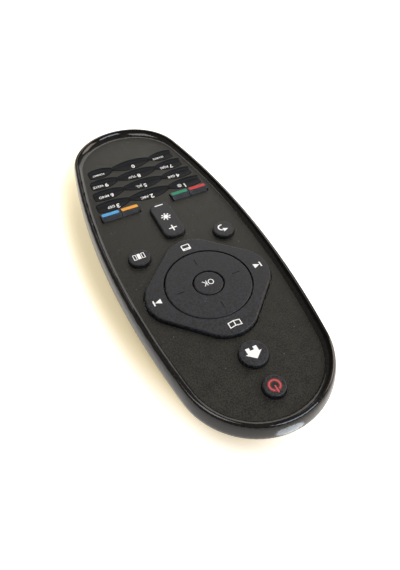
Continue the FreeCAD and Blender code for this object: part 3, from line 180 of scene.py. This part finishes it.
# Sparse specks of dust that sit on top of a surface.
dustShape = {
    "speck": (0.06, 0.14), "scatterScale": 140.0, "threshold": 0.62, "colour": (0.32, 0.30, 0.28),
}


def makeDustGroup():
    group, start, end = newGroup(
        "dustSpecks", [("Scale", 900.0), ("Amount", 0.5)], [("Mask", "NodeSocketFloat")])
    place = addNode(group, "ShaderNodeTexCoord")
    specks = addNode(group, "ShaderNodeTexVoronoi")
    specks.inputs["Randomness"].default_value = 1.0
    ramp = addNode(group, "ShaderNodeValToRGB")
    ramp.color_ramp.elements[0].position = dustShape["speck"][0]
    ramp.color_ramp.elements[0].color = (1, 1, 1, 1)
    ramp.color_ramp.elements[1].position = dustShape["speck"][1]
    ramp.color_ramp.elements[1].color = (0, 0, 0, 1)
    scatter = addNode(group, "ShaderNodeTexNoise")
    scatter.inputs["Scale"].default_value = dustShape["scatterScale"]
    gate = addNode(group, "ShaderNodeMath", operation="GREATER_THAN")
    gate.inputs[1].default_value = dustShape["threshold"]
    both = addNode(group, "ShaderNodeMath", operation="MULTIPLY")
    scaled = addNode(group, "ShaderNodeMath", operation="MULTIPLY")
    link(group, place.outputs["Object"], specks.inputs["Vector"])
    link(group, place.outputs["Object"], scatter.inputs["Vector"])
    link(group, start.outputs["Scale"], specks.inputs["Scale"])
    link(group, specks.outputs["Distance"], ramp.inputs["Fac"])
    link(group, scatter.outputs["Fac"], gate.inputs[0])
    link(group, ramp.outputs["Color"], both.inputs[0])
    link(group, gate.outputs[0], both.inputs[1])
    link(group, both.outputs[0], scaled.inputs[0])
    link(group, start.outputs["Amount"], scaled.inputs[1])
    link(group, scaled.outputs[0], end.inputs["Mask"])
    return group


grainGroup = makeGrainGroup()
smearGroup = makeSmearGroup()
dustGroup = makeDustGroup()


def groupNode(tree, group, **values):
    node = tree.nodes.new("ShaderNodeGroup")
    node.node_tree = group
    for label, number in values.items():
        node.inputs[label].default_value = number
    return node


def mixColour(tree, factor, first, second):
    mix = addNode(tree, "ShaderNodeMix", data_type="RGBA")
    mix.inputs["A"].default_value = (*first, 1)
    mix.inputs["B"].default_value = (*second, 1)
    link(tree, factor, mix.inputs["Factor"])
    return mix.outputs["Result"]


def mapValue(tree, factor, low, high):
    span = addNode(tree, "ShaderNodeMapRange")
    span.inputs["To Min"].default_value = low
    span.inputs["To Max"].default_value = high
    link(tree, factor, span.inputs["Value"])
    return span.outputs["Result"]


# A finish mottles its colour and gloss with the grain, then adds any smears and dust.
def makeFinish(name, look):
    finish = bpy.data.materials.new(name)
    finish.use_nodes = True
    tree = finish.node_tree
    shader = tree.nodes["Principled BSDF"]
    shader.inputs["Metallic"].default_value = look.get("metal", 0.0)
    shader.inputs["IOR"].default_value = look.get("ior", 1.5)
    shader.inputs["Specular IOR Level"].default_value = look.get("specular", 0.5)
    if "coat" in look:
        shader.inputs["Coat Weight"].default_value = look["coat"]
        shader.inputs["Coat Roughness"].default_value = look["coatRough"]
    grain = groupNode(tree, grainGroup, Scale=look["grain"])
    colour = mixColour(tree, grain.outputs["Fleck"], look["dark"], look["light"])
    rough = mapValue(tree, grain.outputs["Fleck"], *look["rough"])
    if "smears" in look:
        smear = groupNode(tree, smearGroup, Scale=look["smearScale"], Amount=look["smears"])
        lift = addNode(tree, "ShaderNodeMath", operation="MULTIPLY_ADD")
        lift.inputs[1].default_value = look["smearRough"]
        link(tree, smear.outputs["Mask"], lift.inputs[0])
        link(tree, rough, lift.inputs[2])
        rough = lift.outputs[0]
    if "dust" in look:
        dust = groupNode(tree, dustGroup, Scale=look["dustScale"], Amount=look["dust"])
        mix = addNode(tree, "ShaderNodeMix", data_type="RGBA")
        mix.inputs["B"].default_value = (*dustShape["colour"], 1)
        link(tree, dust.outputs["Mask"], mix.inputs["Factor"])
        link(tree, colour, mix.inputs["A"])
        colour = mix.outputs["Result"]
    link(tree, colour, shader.inputs["Base Color"])
    link(tree, rough, shader.inputs["Roughness"])
    bump = addNode(tree, "ShaderNodeBump")
    bump.inputs["Strength"].default_value = look["bump"]
    bump.inputs["Distance"].default_value = look["bumpDepth"]
    link(tree, grain.outputs["Height"], bump.inputs["Height"])
    link(tree, bump.outputs["Normal"], shader.inputs["Normal"])
    return finish


looks = {
    "rim_gloss": dict(
        dark=(0.006, 0.006, 0.0065), light=(0.010, 0.0098, 0.010), rough=(0.05, 0.10),
        grain=900.0, bump=0.02, bumpDepth=2e-6, smears=0.5, smearScale=55.0, smearRough=0.12,
        specular=0.34),
    "face_matt": dict(
        dark=(0.0004, 0.0004, 0.0), light=(0.0245, 0.0235, 0.0165), rough=(0.42, 0.80),
        grain=2300.0, bump=0.8, bumpDepth=6e-5, specular=0.30, dust=0.5, dustScale=700.0),
    "shell_satin": dict(
        dark=(0.010, 0.0098, 0.010), light=(0.022, 0.021, 0.021), rough=(0.28, 0.42),
        grain=2600.0, bump=0.16, bumpDepth=2e-5, smears=0.4, smearScale=40.0, smearRough=0.1),
    "cover_satin": dict(
        dark=(0.010, 0.0098, 0.010), light=(0.022, 0.021, 0.021), rough=(0.30, 0.44),
        grain=2600.0, bump=0.16, bumpDepth=2e-5),
    "window_smoke": dict(
        dark=(0.010, 0.004, 0.006), light=(0.016, 0.006, 0.009), rough=(0.04, 0.08),
        grain=900.0, bump=0.01, bumpDepth=2e-6, coat=0.5, coatRough=0.03),
    "key_rubber": dict(
        dark=(0.0004, 0.0008, 0.0018), light=(0.0205, 0.0228, 0.0315), rough=(0.46, 0.80),
        grain=1350.0, bump=0.8, bumpDepth=6e-5, specular=0.36, dust=0.4, dustScale=800.0),
    # A darker copy of key_rubber for the number keys: painted shade.
    "painted_shade_rubber": dict(
        dark=(0.001, 0.0013, 0.0020), light=(0.0064, 0.0083, 0.0116), rough=(0.54, 0.80),
        grain=1700.0, bump=0.8, bumpDepth=6e-5, specular=0.20),
    "support_plastic": dict(
        dark=(0.52, 0.52, 0.50), light=(0.66, 0.66, 0.63), rough=(0.4, 0.5), grain=2000.0,
        bump=0.1, bumpDepth=2e-5),
    "mat_silicone": dict(
        dark=(0.26, 0.27, 0.28), light=(0.38, 0.39, 0.40), rough=(0.5, 0.6), grain=2400.0,
        bump=0.2, bumpDepth=2e-5),
    "board_green": dict(
        dark=(0.010, 0.075, 0.030), light=(0.025, 0.16, 0.070), rough=(0.3, 0.4), grain=1500.0,
        bump=0.1, bumpDepth=2e-5),
    "dome_steel": dict(
        dark=(0.55, 0.55, 0.53), light=(0.76, 0.76, 0.74), rough=(0.2, 0.35), metal=1.0,
        grain=1800.0, bump=0.05, bumpDepth=1e-5),
    "screw_steel": dict(
        dark=(0.42, 0.42, 0.43), light=(0.62, 0.62, 0.63), rough=(0.25, 0.4), metal=1.0,
        grain=1800.0, bump=0.08, bumpDepth=1e-5),
    "contact_nickel": dict(
        dark=(0.52, 0.51, 0.48), light=(0.74, 0.73, 0.70), rough=(0.2, 0.35), metal=1.0,
        grain=1500.0, bump=0.08, bumpDepth=1e-5),
    "cell_jacket": dict(
        dark=(0.20, 0.21, 0.23), light=(0.42, 0.43, 0.45), rough=(0.25, 0.4), metal=0.8,
        grain=1200.0, bump=0.03, bumpDepth=1e-5),
    "chip_resin": dict(
        dark=(0.012, 0.012, 0.012), light=(0.03, 0.03, 0.03), rough=(0.5, 0.65), grain=4000.0,
        bump=0.25, bumpDepth=2e-5),
    "can_steel": dict(
        dark=(0.55, 0.55, 0.55), light=(0.78, 0.78, 0.78), rough=(0.2, 0.3), metal=1.0,
        grain=1500.0, bump=0.04, bumpDepth=1e-5),
    "capacitor_sleeve": dict(
        dark=(0.015, 0.02, 0.07), light=(0.04, 0.05, 0.16), rough=(0.25, 0.35), grain=1500.0,
        bump=0.04, bumpDepth=1e-5),
    "led_lens": dict(
        dark=(0.06, 0.05, 0.10), light=(0.12, 0.10, 0.18), rough=(0.05, 0.1), grain=900.0,
        bump=0.01, bumpDepth=2e-6),
    "white_print": dict(
        dark=(0.84, 0.88, 0.95), light=(0.92, 0.96, 1.0), rough=(0.45, 0.6), grain=5200.0,
        bump=0.1, bumpDepth=1e-5),
    "red_print": dict(
        dark=(0.44, 0.055, 0.06), light=(0.60, 0.09, 0.09), rough=(0.45, 0.6), grain=5200.0,
        bump=0.1, bumpDepth=1e-5),
    "red_glow": dict(
        dark=(0.12, 0.006, 0.007), light=(0.18, 0.010, 0.011), rough=(0.5, 0.62), grain=5200.0,
        bump=0.1, bumpDepth=1e-5),
    "red_stripe": dict(
        dark=(0.38, 0.018, 0.022), light=(0.58, 0.035, 0.042), rough=(0.6, 0.7), grain=5200.0,
        bump=0.1, bumpDepth=1e-5, specular=0.25),
    "green_stripe": dict(
        dark=(0.006, 0.17, 0.10), light=(0.012, 0.27, 0.16), rough=(0.6, 0.7), grain=5200.0,
        bump=0.1, bumpDepth=1e-5, specular=0.25),
    "yellow_stripe": dict(
        dark=(0.62, 0.26, 0.02), light=(0.84, 0.40, 0.05), rough=(0.6, 0.7), grain=5200.0,
        bump=0.1, bumpDepth=1e-5, specular=0.25),
    "blue_stripe": dict(
        dark=(0.05, 0.27, 0.60), light=(0.10, 0.42, 0.80), rough=(0.6, 0.7), grain=5200.0,
        bump=0.1, bumpDepth=1e-5, specular=0.25),
}
finishes = {name: makeFinish(name, look) for name, look in looks.items()}

slotOf = {row["node"]: row["material_slot"] for row in frame["record"]["subparts"]}
# The number keys take a darker copy of the key rubber as painted shade, under the same slot.
wordKeys = ("source_key", "format_key")
for name, node in frame["nodes"].items():
    inRows = name.startswith("digit_") or name in wordKeys
    for index in range(len(node.material_slots)):
        node.material_slots[index].material = finishes["painted_shade_rubber" if inRows else slotOf[name]]
print("Finishes on the frame's nodes:", len(finishes))

bodies = frame["record"]["behaviour"]["bodies"]
bodyOf = {name: body for body, names in bodies.items() for name in names}

# The glossy rim again, with its facets joined into one smooth surface.
rimShape = {"join": 0.002 * mm, "crease": 32, "evenWeight": 60}


def smoothCopy(node, name, look):
    copied = bpy.data.objects.new(name, frame["nodes"][node].data.copy())
    bpy.context.scene.collection.objects.link(copied)
    pick(copied)
    bpy.ops.mesh.customdata_custom_splitnormals_clear()
    bpy.ops.object.mode_set(mode="EDIT")
    bpy.ops.mesh.select_all(action="SELECT")
    bpy.ops.mesh.remove_doubles(threshold=rimShape["join"])
    bpy.ops.object.mode_set(mode="OBJECT")
    bpy.ops.object.shade_smooth_by_angle(angle=math.radians(rimShape["crease"]))
    bpy.ops.object.modifier_add(type="WEIGHTED_NORMAL")
    even = copied.modifiers[-1]
    even.keep_sharp = True
    even.weight = rimShape["evenWeight"]
    bpy.ops.object.modifier_apply(modifier=even.name)
    copied.data.materials[0] = finishes[look]
    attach(copied, bodyOf[node])
    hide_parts(node)
    return copied


smoothCopy("top_frame", "glossyRim", "rim_gloss")
print("Rim joined")


# Printed marks are drawn flat in millimetres, lowered onto a key and given an ink's thickness.
inkShape = {"height": 30 * mm, "gap": 0.015 * mm, "thickness": 0.03 * mm, "join": 0.001 * mm}
capShare = 0.729


def lowerInk(mark, node, look, share=1.0):
    pick(mark)
    bpy.ops.object.mode_set(mode="EDIT")
    bpy.ops.mesh.select_all(action="SELECT")
    bpy.ops.mesh.remove_doubles(threshold=inkShape["join"])
    bpy.ops.mesh.quads_convert_to_tris()
    bpy.ops.mesh.subdivide(number_cuts=1)
    bpy.ops.object.mode_set(mode="OBJECT")
    bpy.ops.object.modifier_add(type="SHRINKWRAP")
    lower = mark.modifiers[-1]
    lower.target = frame["nodes"][node]
    lower.wrap_method = "PROJECT"
    lower.use_project_z = True
    lower.use_positive_direction = False
    lower.use_negative_direction = True
    lower.offset = inkShape["gap"] * share
    bpy.ops.object.modifier_apply(modifier=lower.name)
    bpy.ops.object.modifier_add(type="SOLIDIFY")
    thicken = mark.modifiers[-1]
    thicken.thickness = inkShape["thickness"] * share
    thicken.offset = 1.0
    bpy.ops.object.modifier_apply(modifier=thicken.name)
    mark.data.materials.clear()
    mark.data.materials.append(finishes[look])
    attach(mark, bodyOf[node])
    return mark


# Words are set with a cap height, and stand on a baseline from a left end or about a middle.
# A capital of the font stands capShare of its size tall.
def makeWords(name, words, capHeight, x, y, align="LEFT", squeeze=1.0, weight=0.0):
    clearSelection()
    bpy.ops.object.text_add()
    mark = bpy.context.object
    mark.name = name
    mark.data.body = words
    mark.data.align_x = align
    mark.data.offset = weight
    mark.data.resolution_u = 4
    bpy.ops.object.convert(target="MESH")
    mark = bpy.context.object
    size = capHeight * mm / capShare
    mark.scale = (size * squeeze, size, 1)
    mark.location = (x * mm, y * mm, inkShape["height"])
    applyPlace(mark)
    return mark


# A drawing is made of closed loops, and a loop inside another is a hole.
def makeDrawing(name, loops, x, y):
    clearSelection()
    drawing = bpy.data.curves.new(name, "CURVE")
    drawing.dimensions = "2D"
    drawing.fill_mode = "BOTH"
    for loop in loops:
        spline = drawing.splines.new("POLY")
        spline.points.add(len(loop) - 1)
        for point, (across, up) in zip(spline.points, loop):
            point.co = (across * mm, up * mm, 0, 1)
        spline.use_cyclic_u = True
    mark = bpy.data.objects.new(name, drawing)
    bpy.context.scene.collection.objects.link(mark)
    pick(mark)
    bpy.ops.object.convert(target="MESH")
    mark = bpy.context.object
    mark.location = (x * mm, y * mm, inkShape["height"])
    applyPlace(mark)
    return mark


def joinMarks(name, marks):
    if len(marks) > 1:
        clearSelection()
        for mark in marks:
            mark.select_set(True)
        bpy.context.view_layer.objects.active = marks[0]
        bpy.ops.object.join()
    marks[0].name = name
    return marks[0]


def boxLoop(left, right, low, high):
    return [(left, low), (right, low), (right, high), (left, high)]


def arcPoints(radius, start, end, steps, x=0.0, y=0.0):
    points = []
    for step in range(steps + 1):
        angle = math.radians(start + (end - start) * step / steps)
        points.append((x + radius * math.cos(angle), y + radius * math.sin(angle)))
    return points


def roundLoop(left, right, low, high, corner, steps=5):
    points = []
    for middleX, middleY, start in ((right - corner, low + corner, -90),
                                    (right - corner, high - corner, 0),
                                    (left + corner, high - corner, 90),
                                    (left + corner, low + corner, 180)):
        points += arcPoints(corner, start, start + 90, steps, middleX, middleY)
    return points


def triangleLoop(tipX, baseX, half):
    return [(tipX, 0), (baseX, half), (baseX, -half)]


# Number keys: a figure at the middle of the apron and small letters beside it.
figures = {
    "digit": 2.55, "firstDigit": 2.9, "letters": 1.65, "words": 1.35, "gap": 1.5,
    "line": -37.1, "pitch": 8.75, "squeeze": 0.95, "longSqueeze": 0.8, "wordSqueeze": 0.85,
    "digitWeight": 0.03, "letterWeight": 0.022, "wordWeight": 0.02,
    "columns": (-18.3, -0.5, 16.8), "wordColumns": (-14.9, 0.8, 18.1),
    "feet": ((0.5, 0.95, 0.5), (0.6, 0.6, 0.6), (0.6, 0.7, 0.6), (0.5, 0.8, 0.6)),
}
keyWords = {
    "digit_1_key": ("1", "@"), "digit_2_key": ("2", "ABC"), "digit_3_key": ("3", "DEF"),
    "digit_4_key": ("4", "GHI"), "digit_5_key": ("5", "JKL"), "digit_6_key": ("6", "MNO"),
    "digit_7_key": ("7", "PQRS"), "digit_8_key": ("8", "TUV"), "digit_9_key": ("9", "WXYZ"),
    "source_key": ("", "SOURCE"), "digit_0_key": ("0", ""), "format_key": ("", "FORMAT"),
}
for order, (node, (figure, letters)) in enumerate(keyWords.items()):
    row, column = divmod(order, 3)
    line = figures["line"] - figures["pitch"] * row + figures["feet"][row][column]
    x = figures["columns"][column]
    marks = []
    if figure:
        height = figures["firstDigit"] if row == 0 else figures["digit"]
        marks.append(makeWords(node + "Figure", figure, height, x, line, "CENTER",
                               figures["squeeze"], figures["digitWeight"]))
        if letters:
            squeeze = figures["longSqueeze"] if len(letters) > 3 else figures["squeeze"]
            marks.append(makeWords(node + "Letters", letters, figures["letters"],
                                   x + figures["gap"], line, "LEFT", squeeze,
                                   figures["letterWeight"]))
    else:
        marks.append(makeWords(node + "Letters", letters, figures["words"],
                               figures["wordColumns"][column], line, "CENTER",
                               figures["wordSqueeze"], figures["wordWeight"]))
    lowerInk(joinMarks(node + "Print", marks), node, "white_print")
print("Number prints set")

# Coloured stripes along the front of the wedge keys.
stripeShape = {"front": -28.45, "back": -31.15, "corner": 0.55}
stripes = {
    "red_key": (-26.5, -18.25, "red_stripe"), "green_key": (-16.9, -8.9, "green_stripe"),
    "yellow_key": (8.9, 16.9, "yellow_stripe"), "blue_key": (18.25, 26.5, "blue_stripe"),
}
for node, (left, right, look) in stripes.items():
    loop = roundLoop(left, right, stripeShape["back"], stripeShape["front"],
                     stripeShape["corner"])
    lowerInk(makeDrawing(node + "Stripe", [loop], 0, 0), node, look)
print("Stripes set")

# Symbols on the pad, the rocker and the round keys: node, place and loops of each.
navY = 28.5
drawings = {
    "skipBackMark": ("nav_pad", -22.6, navY + 0.35, [
        boxLoop(-1.85, -1.25, -1.3, 1.3), triangleLoop(-1.1, 1.55, 1.25)]),
    "skipOnMark": ("nav_pad", 22.6, navY + 0.35, [
        boxLoop(1.25, 1.85, -1.3, 1.3), triangleLoop(1.1, -1.55, 1.25)]),
    "bookMark": ("nav_pad", 0.0, navY + 22.6, [
        [(-2.6, -1.1), (0, -1.5), (2.6, -1.1), (2.6, 1.6), (0, 1.2), (-2.6, 1.6)],
        [(-2.2, -0.75), (-0.2, -1.06), (-0.2, 0.85), (-2.2, 1.16)],
        [(0.2, -1.06), (2.2, -0.75), (2.2, 1.16), (0.2, 0.85)]]),
    "boxMark": ("nav_pad", 0.0, navY - 22.4, [
        roundLoop(-1.95, 1.95, -1.7, 1.7, 0.5), roundLoop(-1.5, 1.5, -1.3, 0.45, 0.3),
        roundLoop(-1.0, 1.0, 0.95, 1.25, 0.14)]),
    "plusMark": ("rocker_key", 0.0, navY - 36.4, [[
        (-1.9, -0.3), (-0.3, -0.3), (-0.3, -1.9), (0.3, -1.9), (0.3, -0.3), (1.9, -0.3),
        (1.9, 0.3), (0.3, 0.3), (0.3, 1.9), (-0.3, 1.9), (-0.3, 0.3), (-1.9, 0.3)]]),
    "minusMark": ("rocker_key", 0.0, navY - 53.3, [boxLoop(-2.05, 2.05, -0.3, 0.3)]),
    "homeMark": ("home_key", 0.0, 65.6, [[
        (-2.3, -2.45), (-0.75, -2.45), (-0.75, -1.15),
        (0.75, -1.15), (0.75, -2.45), (2.3, -2.45),
        (2.3, -0.05), (3.3, -0.05), (0, 2.75), (-3.3, -0.05), (-2.3, -0.05)]]),
    "barsMark": ("options_key", 20.3, 2.2, [
        boxLoop(-2.6, -1.1, -1.6, 1.6), boxLoop(-2.3, -1.4, -1.3, 1.3),
        boxLoop(-0.7, 0.7, -1.6, 1.6),
        boxLoop(1.1, 2.6, -1.6, 1.6), boxLoop(1.4, 2.3, -1.3, 1.3)]),
    "returnMark": ("back_key", -20.1, 2.3, [
        arcPoints(1.95, -110, 95, 14, 0.2, -0.45) + arcPoints(1.3, 95, -110, 14, 0.2, -0.45),
        [(-2.1, 1.2), (0.25, 2.35), (0.25, 0.05)]]),
}

# A disc with eight tapered rays round it.
sunShape = {
    "disc": 1.15, "rays": 8, "ray": ((1.35, -0.34), (2.3, -0.26), (2.3, 0.26), (1.35, 0.34)),
}
sunLoops = [arcPoints(sunShape["disc"], 0, 345, 23)]
for ray in range(sunShape["rays"]):
    angle = math.radians(360 / sunShape["rays"] * ray)
    cosine, sine = math.cos(angle), math.sin(angle)
    sunLoops.append([(cosine * reach - sine * side, sine * reach + cosine * side)
                     for reach, side in sunShape["ray"]])
drawings["sunMark"] = ("rocker_key", 0.0, navY - 44.6, sunLoops)
for name, (node, x, y, loops) in drawings.items():
    lowerInk(makeDrawing(name, loops, x, y), node, "white_print")
okShape = {"height": 2.9, "squeeze": 0.85}
okWord = makeWords("okWord", "OK", okShape["height"], 0.0, navY - okShape["height"] / 2, "CENTER",
                   okShape["squeeze"])
lowerInk(okWord, "ok_key", "white_print")

# The power sign is an open ring with a bar, over a thinner ring of glow.
powerShape = {
    "y": 80.2, "radius": 2.0, "line": 0.55, "halo": 1.25, "gap": 26, "bar": (0.1, 2.95),
    "glowShare": 0.5,
}


def powerLoops():
    half = powerShape["line"] / 2
    first, last = 90 + powerShape["gap"], 450 - powerShape["gap"]
    outer = arcPoints(powerShape["radius"] + half, first, last, 40)
    inner = arcPoints(powerShape["radius"] - half, last, first, 40)
    return [outer + inner, boxLoop(-half, half, *powerShape["bar"])]


haloLoops = [arcPoints(powerShape["radius"] + side * powerShape["halo"] / 2, 0, 352, 44)
             for side in (1, -1)]
lowerInk(makeDrawing("powerHalo", haloLoops, 0.0, powerShape["y"]), "power_key", "red_glow",
         powerShape["glowShare"])
lowerInk(makeDrawing("powerMark", powerLoops(), 0.0, powerShape["y"]), "power_key", "red_print")
print("Symbols set")


# The camera stands where the photo's did.
cameraPlace = {
    "location": (0.05608, 0.14151, 0.17345), "angles": (39.92, 0.69, 154.376),
    "lens": 30.2, "sensor": 36.0, "nearest": 0.01,
}
bpy.ops.object.camera_add(location=cameraPlace["location"],
                          rotation=[math.radians(angle) for angle in cameraPlace["angles"]])
camera = bpy.context.object
camera.name = "studioCamera"
camera.data.lens = cameraPlace["lens"]
camera.data.sensor_width = cameraPlace["sensor"]
camera.data.clip_start = cameraPlace["nearest"]
bpy.context.scene.camera = camera

# The shade colours, middle, radii and reach draw a painted shadow on the floor beside the object.
floorShape = {
    "size": 40.0, "paper": (0.86, 0.847, 0.826), "shadePaper": (0.84, 0.79, 0.64),
    "glow": (0.20, 0.93), "shadeGlow": (1.0, 0.74, 0.26), "clearGlow": (1.0, 1.0, 1.0),
    "middle": (8 * mm, -21 * mm), "radii": (30 * mm, 86 * mm), "reach": (0.97, 1.46),
    "glossShare": 0.72,
}
clearSelection()
bpy.ops.mesh.primitive_plane_add(size=floorShape["size"], location=(0, 0, cadBox[0][2]))
studioFloor = bpy.context.object
studioFloor.name = "studioFloor"
applyPlace(studioFloor)


# What the camera sees, also through glass, and a share of what gloss mirrors.
def seenMask(tree, glossShare):
    rays = addNode(tree, "ShaderNodeLightPath")
    mirrored = addNode(tree, "ShaderNodeMath", operation="MULTIPLY")
    mirrored.inputs[1].default_value = glossShare
    direct = addNode(tree, "ShaderNodeMath", operation="MAXIMUM")
    seen = addNode(tree, "ShaderNodeMath", operation="MAXIMUM")
    link(tree, rays.outputs["Is Glossy Ray"], mirrored.inputs[0])
    link(tree, rays.outputs["Is Camera Ray"], direct.inputs[0])
    link(tree, rays.outputs["Is Transmission Ray"], direct.inputs[1])
    link(tree, direct.outputs[0], seen.inputs[0])
    link(tree, mirrored.outputs[0], seen.inputs[1])
    return seen.outputs[0]


# The floor is white paper. Seen straight on or in a reflection it also glows, so that it reads as
# white. An oval beside the object's shaded side glows less and warmer: a painted shadow, over the
# cast one.
def makeFloorFinish():
    finish = bpy.data.materials.new("studioPaper")
    finish.use_nodes = True
    tree = finish.node_tree
    tree.nodes.remove(tree.nodes["Principled BSDF"])
    paper = addNode(tree, "ShaderNodeBsdfDiffuse")
    glow = addNode(tree, "ShaderNodeEmission")
    place = addNode(tree, "ShaderNodeTexCoord")
    middleX, middleY = floorShape["middle"]
    radiusX, radiusY = floorShape["radii"]
    centred = addNode(tree, "ShaderNodeMapping")
    centred.inputs["Location"].default_value = (-middleX / radiusX, -middleY / radiusY, 0)
    centred.inputs["Scale"].default_value = (1 / radiusX, 1 / radiusY, 1)
    away = addNode(tree, "ShaderNodeVectorMath", operation="LENGTH")
    rise = addNode(tree, "ShaderNodeMapRange", interpolation_type="SMOOTHSTEP")
    rise.inputs["From Min"].default_value = floorShape["reach"][0]
    rise.inputs["From Max"].default_value = floorShape["reach"][1]
    strength = addNode(tree, "ShaderNodeMapRange")
    strength.inputs["To Min"].default_value = floorShape["glow"][0]
    strength.inputs["To Max"].default_value = floorShape["glow"][1]
    link(tree, place.outputs["Object"], centred.inputs["Vector"])
    link(tree, centred.outputs["Vector"], away.inputs[0])
    link(tree, away.outputs["Value"], rise.inputs["Value"])
    link(tree, rise.outputs["Result"], strength.inputs["Value"])
    link(tree, strength.outputs["Result"], glow.inputs["Strength"])
    clear = rise.outputs["Result"]
    link(tree, mixColour(tree, clear, floorShape["shadeGlow"], floorShape["clearGlow"]),
         glow.inputs["Color"])
    link(tree, mixColour(tree, clear, floorShape["shadePaper"], floorShape["paper"]),
         paper.inputs["Color"])
    plain = addNode(tree, "ShaderNodeAddShader")
    choose = addNode(tree, "ShaderNodeMixShader")
    link(tree, paper.outputs[0], plain.inputs[0])
    link(tree, glow.outputs[0], plain.inputs[1])
    link(tree, seenMask(tree, floorShape["glossShare"]), choose.inputs[0])
    link(tree, paper.outputs[0], choose.inputs[1])
    link(tree, plain.outputs[0], choose.inputs[2])
    link(tree, choose.outputs[0], tree.nodes["Material Output"].inputs["Surface"])
    return finish


studioFloor.data.materials.append(makeFloorFinish())

# Lamps: place, size and power of each window, all turned towards the middle of the object.
lampAim = Vector((0, 0, 0.01))
lamps = {
    "farWindow": dict(
        place=(-0.56, -0.98, 0.60), size=(1.1, 1.0), power=8.5, colour=(1.0, 0.98, 0.93)),
    "ceilingLamp": dict(
        place=(0.38, -0.05, 1.15), size=(0.6, 0.6), power=6.5, colour=(1.0, 0.99, 0.98)),
    "sideWindow": dict(
        place=(-1.02, 0.12, 0.50), size=(0.70, 0.75), power=9.5, colour=(1.0, 0.85, 0.76)),
    "nearWindow": dict(
        place=(-0.40, 0.83, 0.76), size=(0.85, 0.52), power=13.5, colour=(0.74, 0.86, 1.0)),
}
for name, lamp in lamps.items():
    direction = lampAim - Vector(lamp["place"])
    bpy.ops.object.light_add(type="AREA", location=lamp["place"],
                             rotation=direction.to_track_quat("-Z", "Y").to_euler())
    lampObject = bpy.context.object
    lampObject.name = name
    lampObject.data.shape = "RECTANGLE"
    lampObject.data.size, lampObject.data.size_y = lamp["size"]
    lampObject.data.energy = lamp["power"]
    lampObject.data.color = lamp["colour"]

# The near window shows in the gloss only.
bpy.data.objects["nearWindow"].visible_diffuse = False

# A patch of window light on the paper, which the glossy near wall mirrors.
gleam = {
    "place": (-0.004, 0.112, 0.15), "angle": 8.5, "blend": 0.35, "radius": 0.001, "power": 4.6,
    "colour": (0.80, 0.90, 1.0),
}
bpy.ops.object.light_add(type="SPOT", location=gleam["place"])
gleamLamp = bpy.context.object
gleamLamp.name = "floorGleam"
gleamLamp.data.spot_size = math.radians(gleam["angle"])
gleamLamp.data.spot_blend = gleam["blend"]
gleamLamp.data.shadow_soft_size = gleam["radius"]
gleamLamp.data.energy = gleam["power"]
gleamLamp.data.color = gleam["colour"]

# A dim warm room lights the object, and the camera sees white above the paper's far edge.
room = {"colour": (1.0, 0.88, 0.70), "strength": 0.28, "glossShare": 0.05}
world = bpy.data.worlds.new("softRoom")
bpy.context.scene.world = world
world.use_nodes = True
roomTree = world.node_tree
roomLight = roomTree.nodes["Background"]
roomLight.inputs["Color"].default_value = (*room["colour"], 1)
roomLight.inputs["Strength"].default_value = room["strength"]
whiteWall = addNode(roomTree, "ShaderNodeBackground")
whiteWall.inputs["Color"].default_value = (1, 1, 1, 1)
whiteWall.inputs["Strength"].default_value = 1.0
wallMix = addNode(roomTree, "ShaderNodeMixShader")
link(roomTree, seenMask(roomTree, room["glossShare"]), wallMix.inputs[0])
link(roomTree, roomLight.outputs[0], wallMix.inputs[1])
link(roomTree, whiteWall.outputs[0], wallMix.inputs[2])
link(roomTree, wallMix.outputs[0], roomTree.nodes["World Output"].inputs["Surface"])

bpy.context.scene.view_settings.view_transform = "Standard"
print("Camera, floor and lamps set")
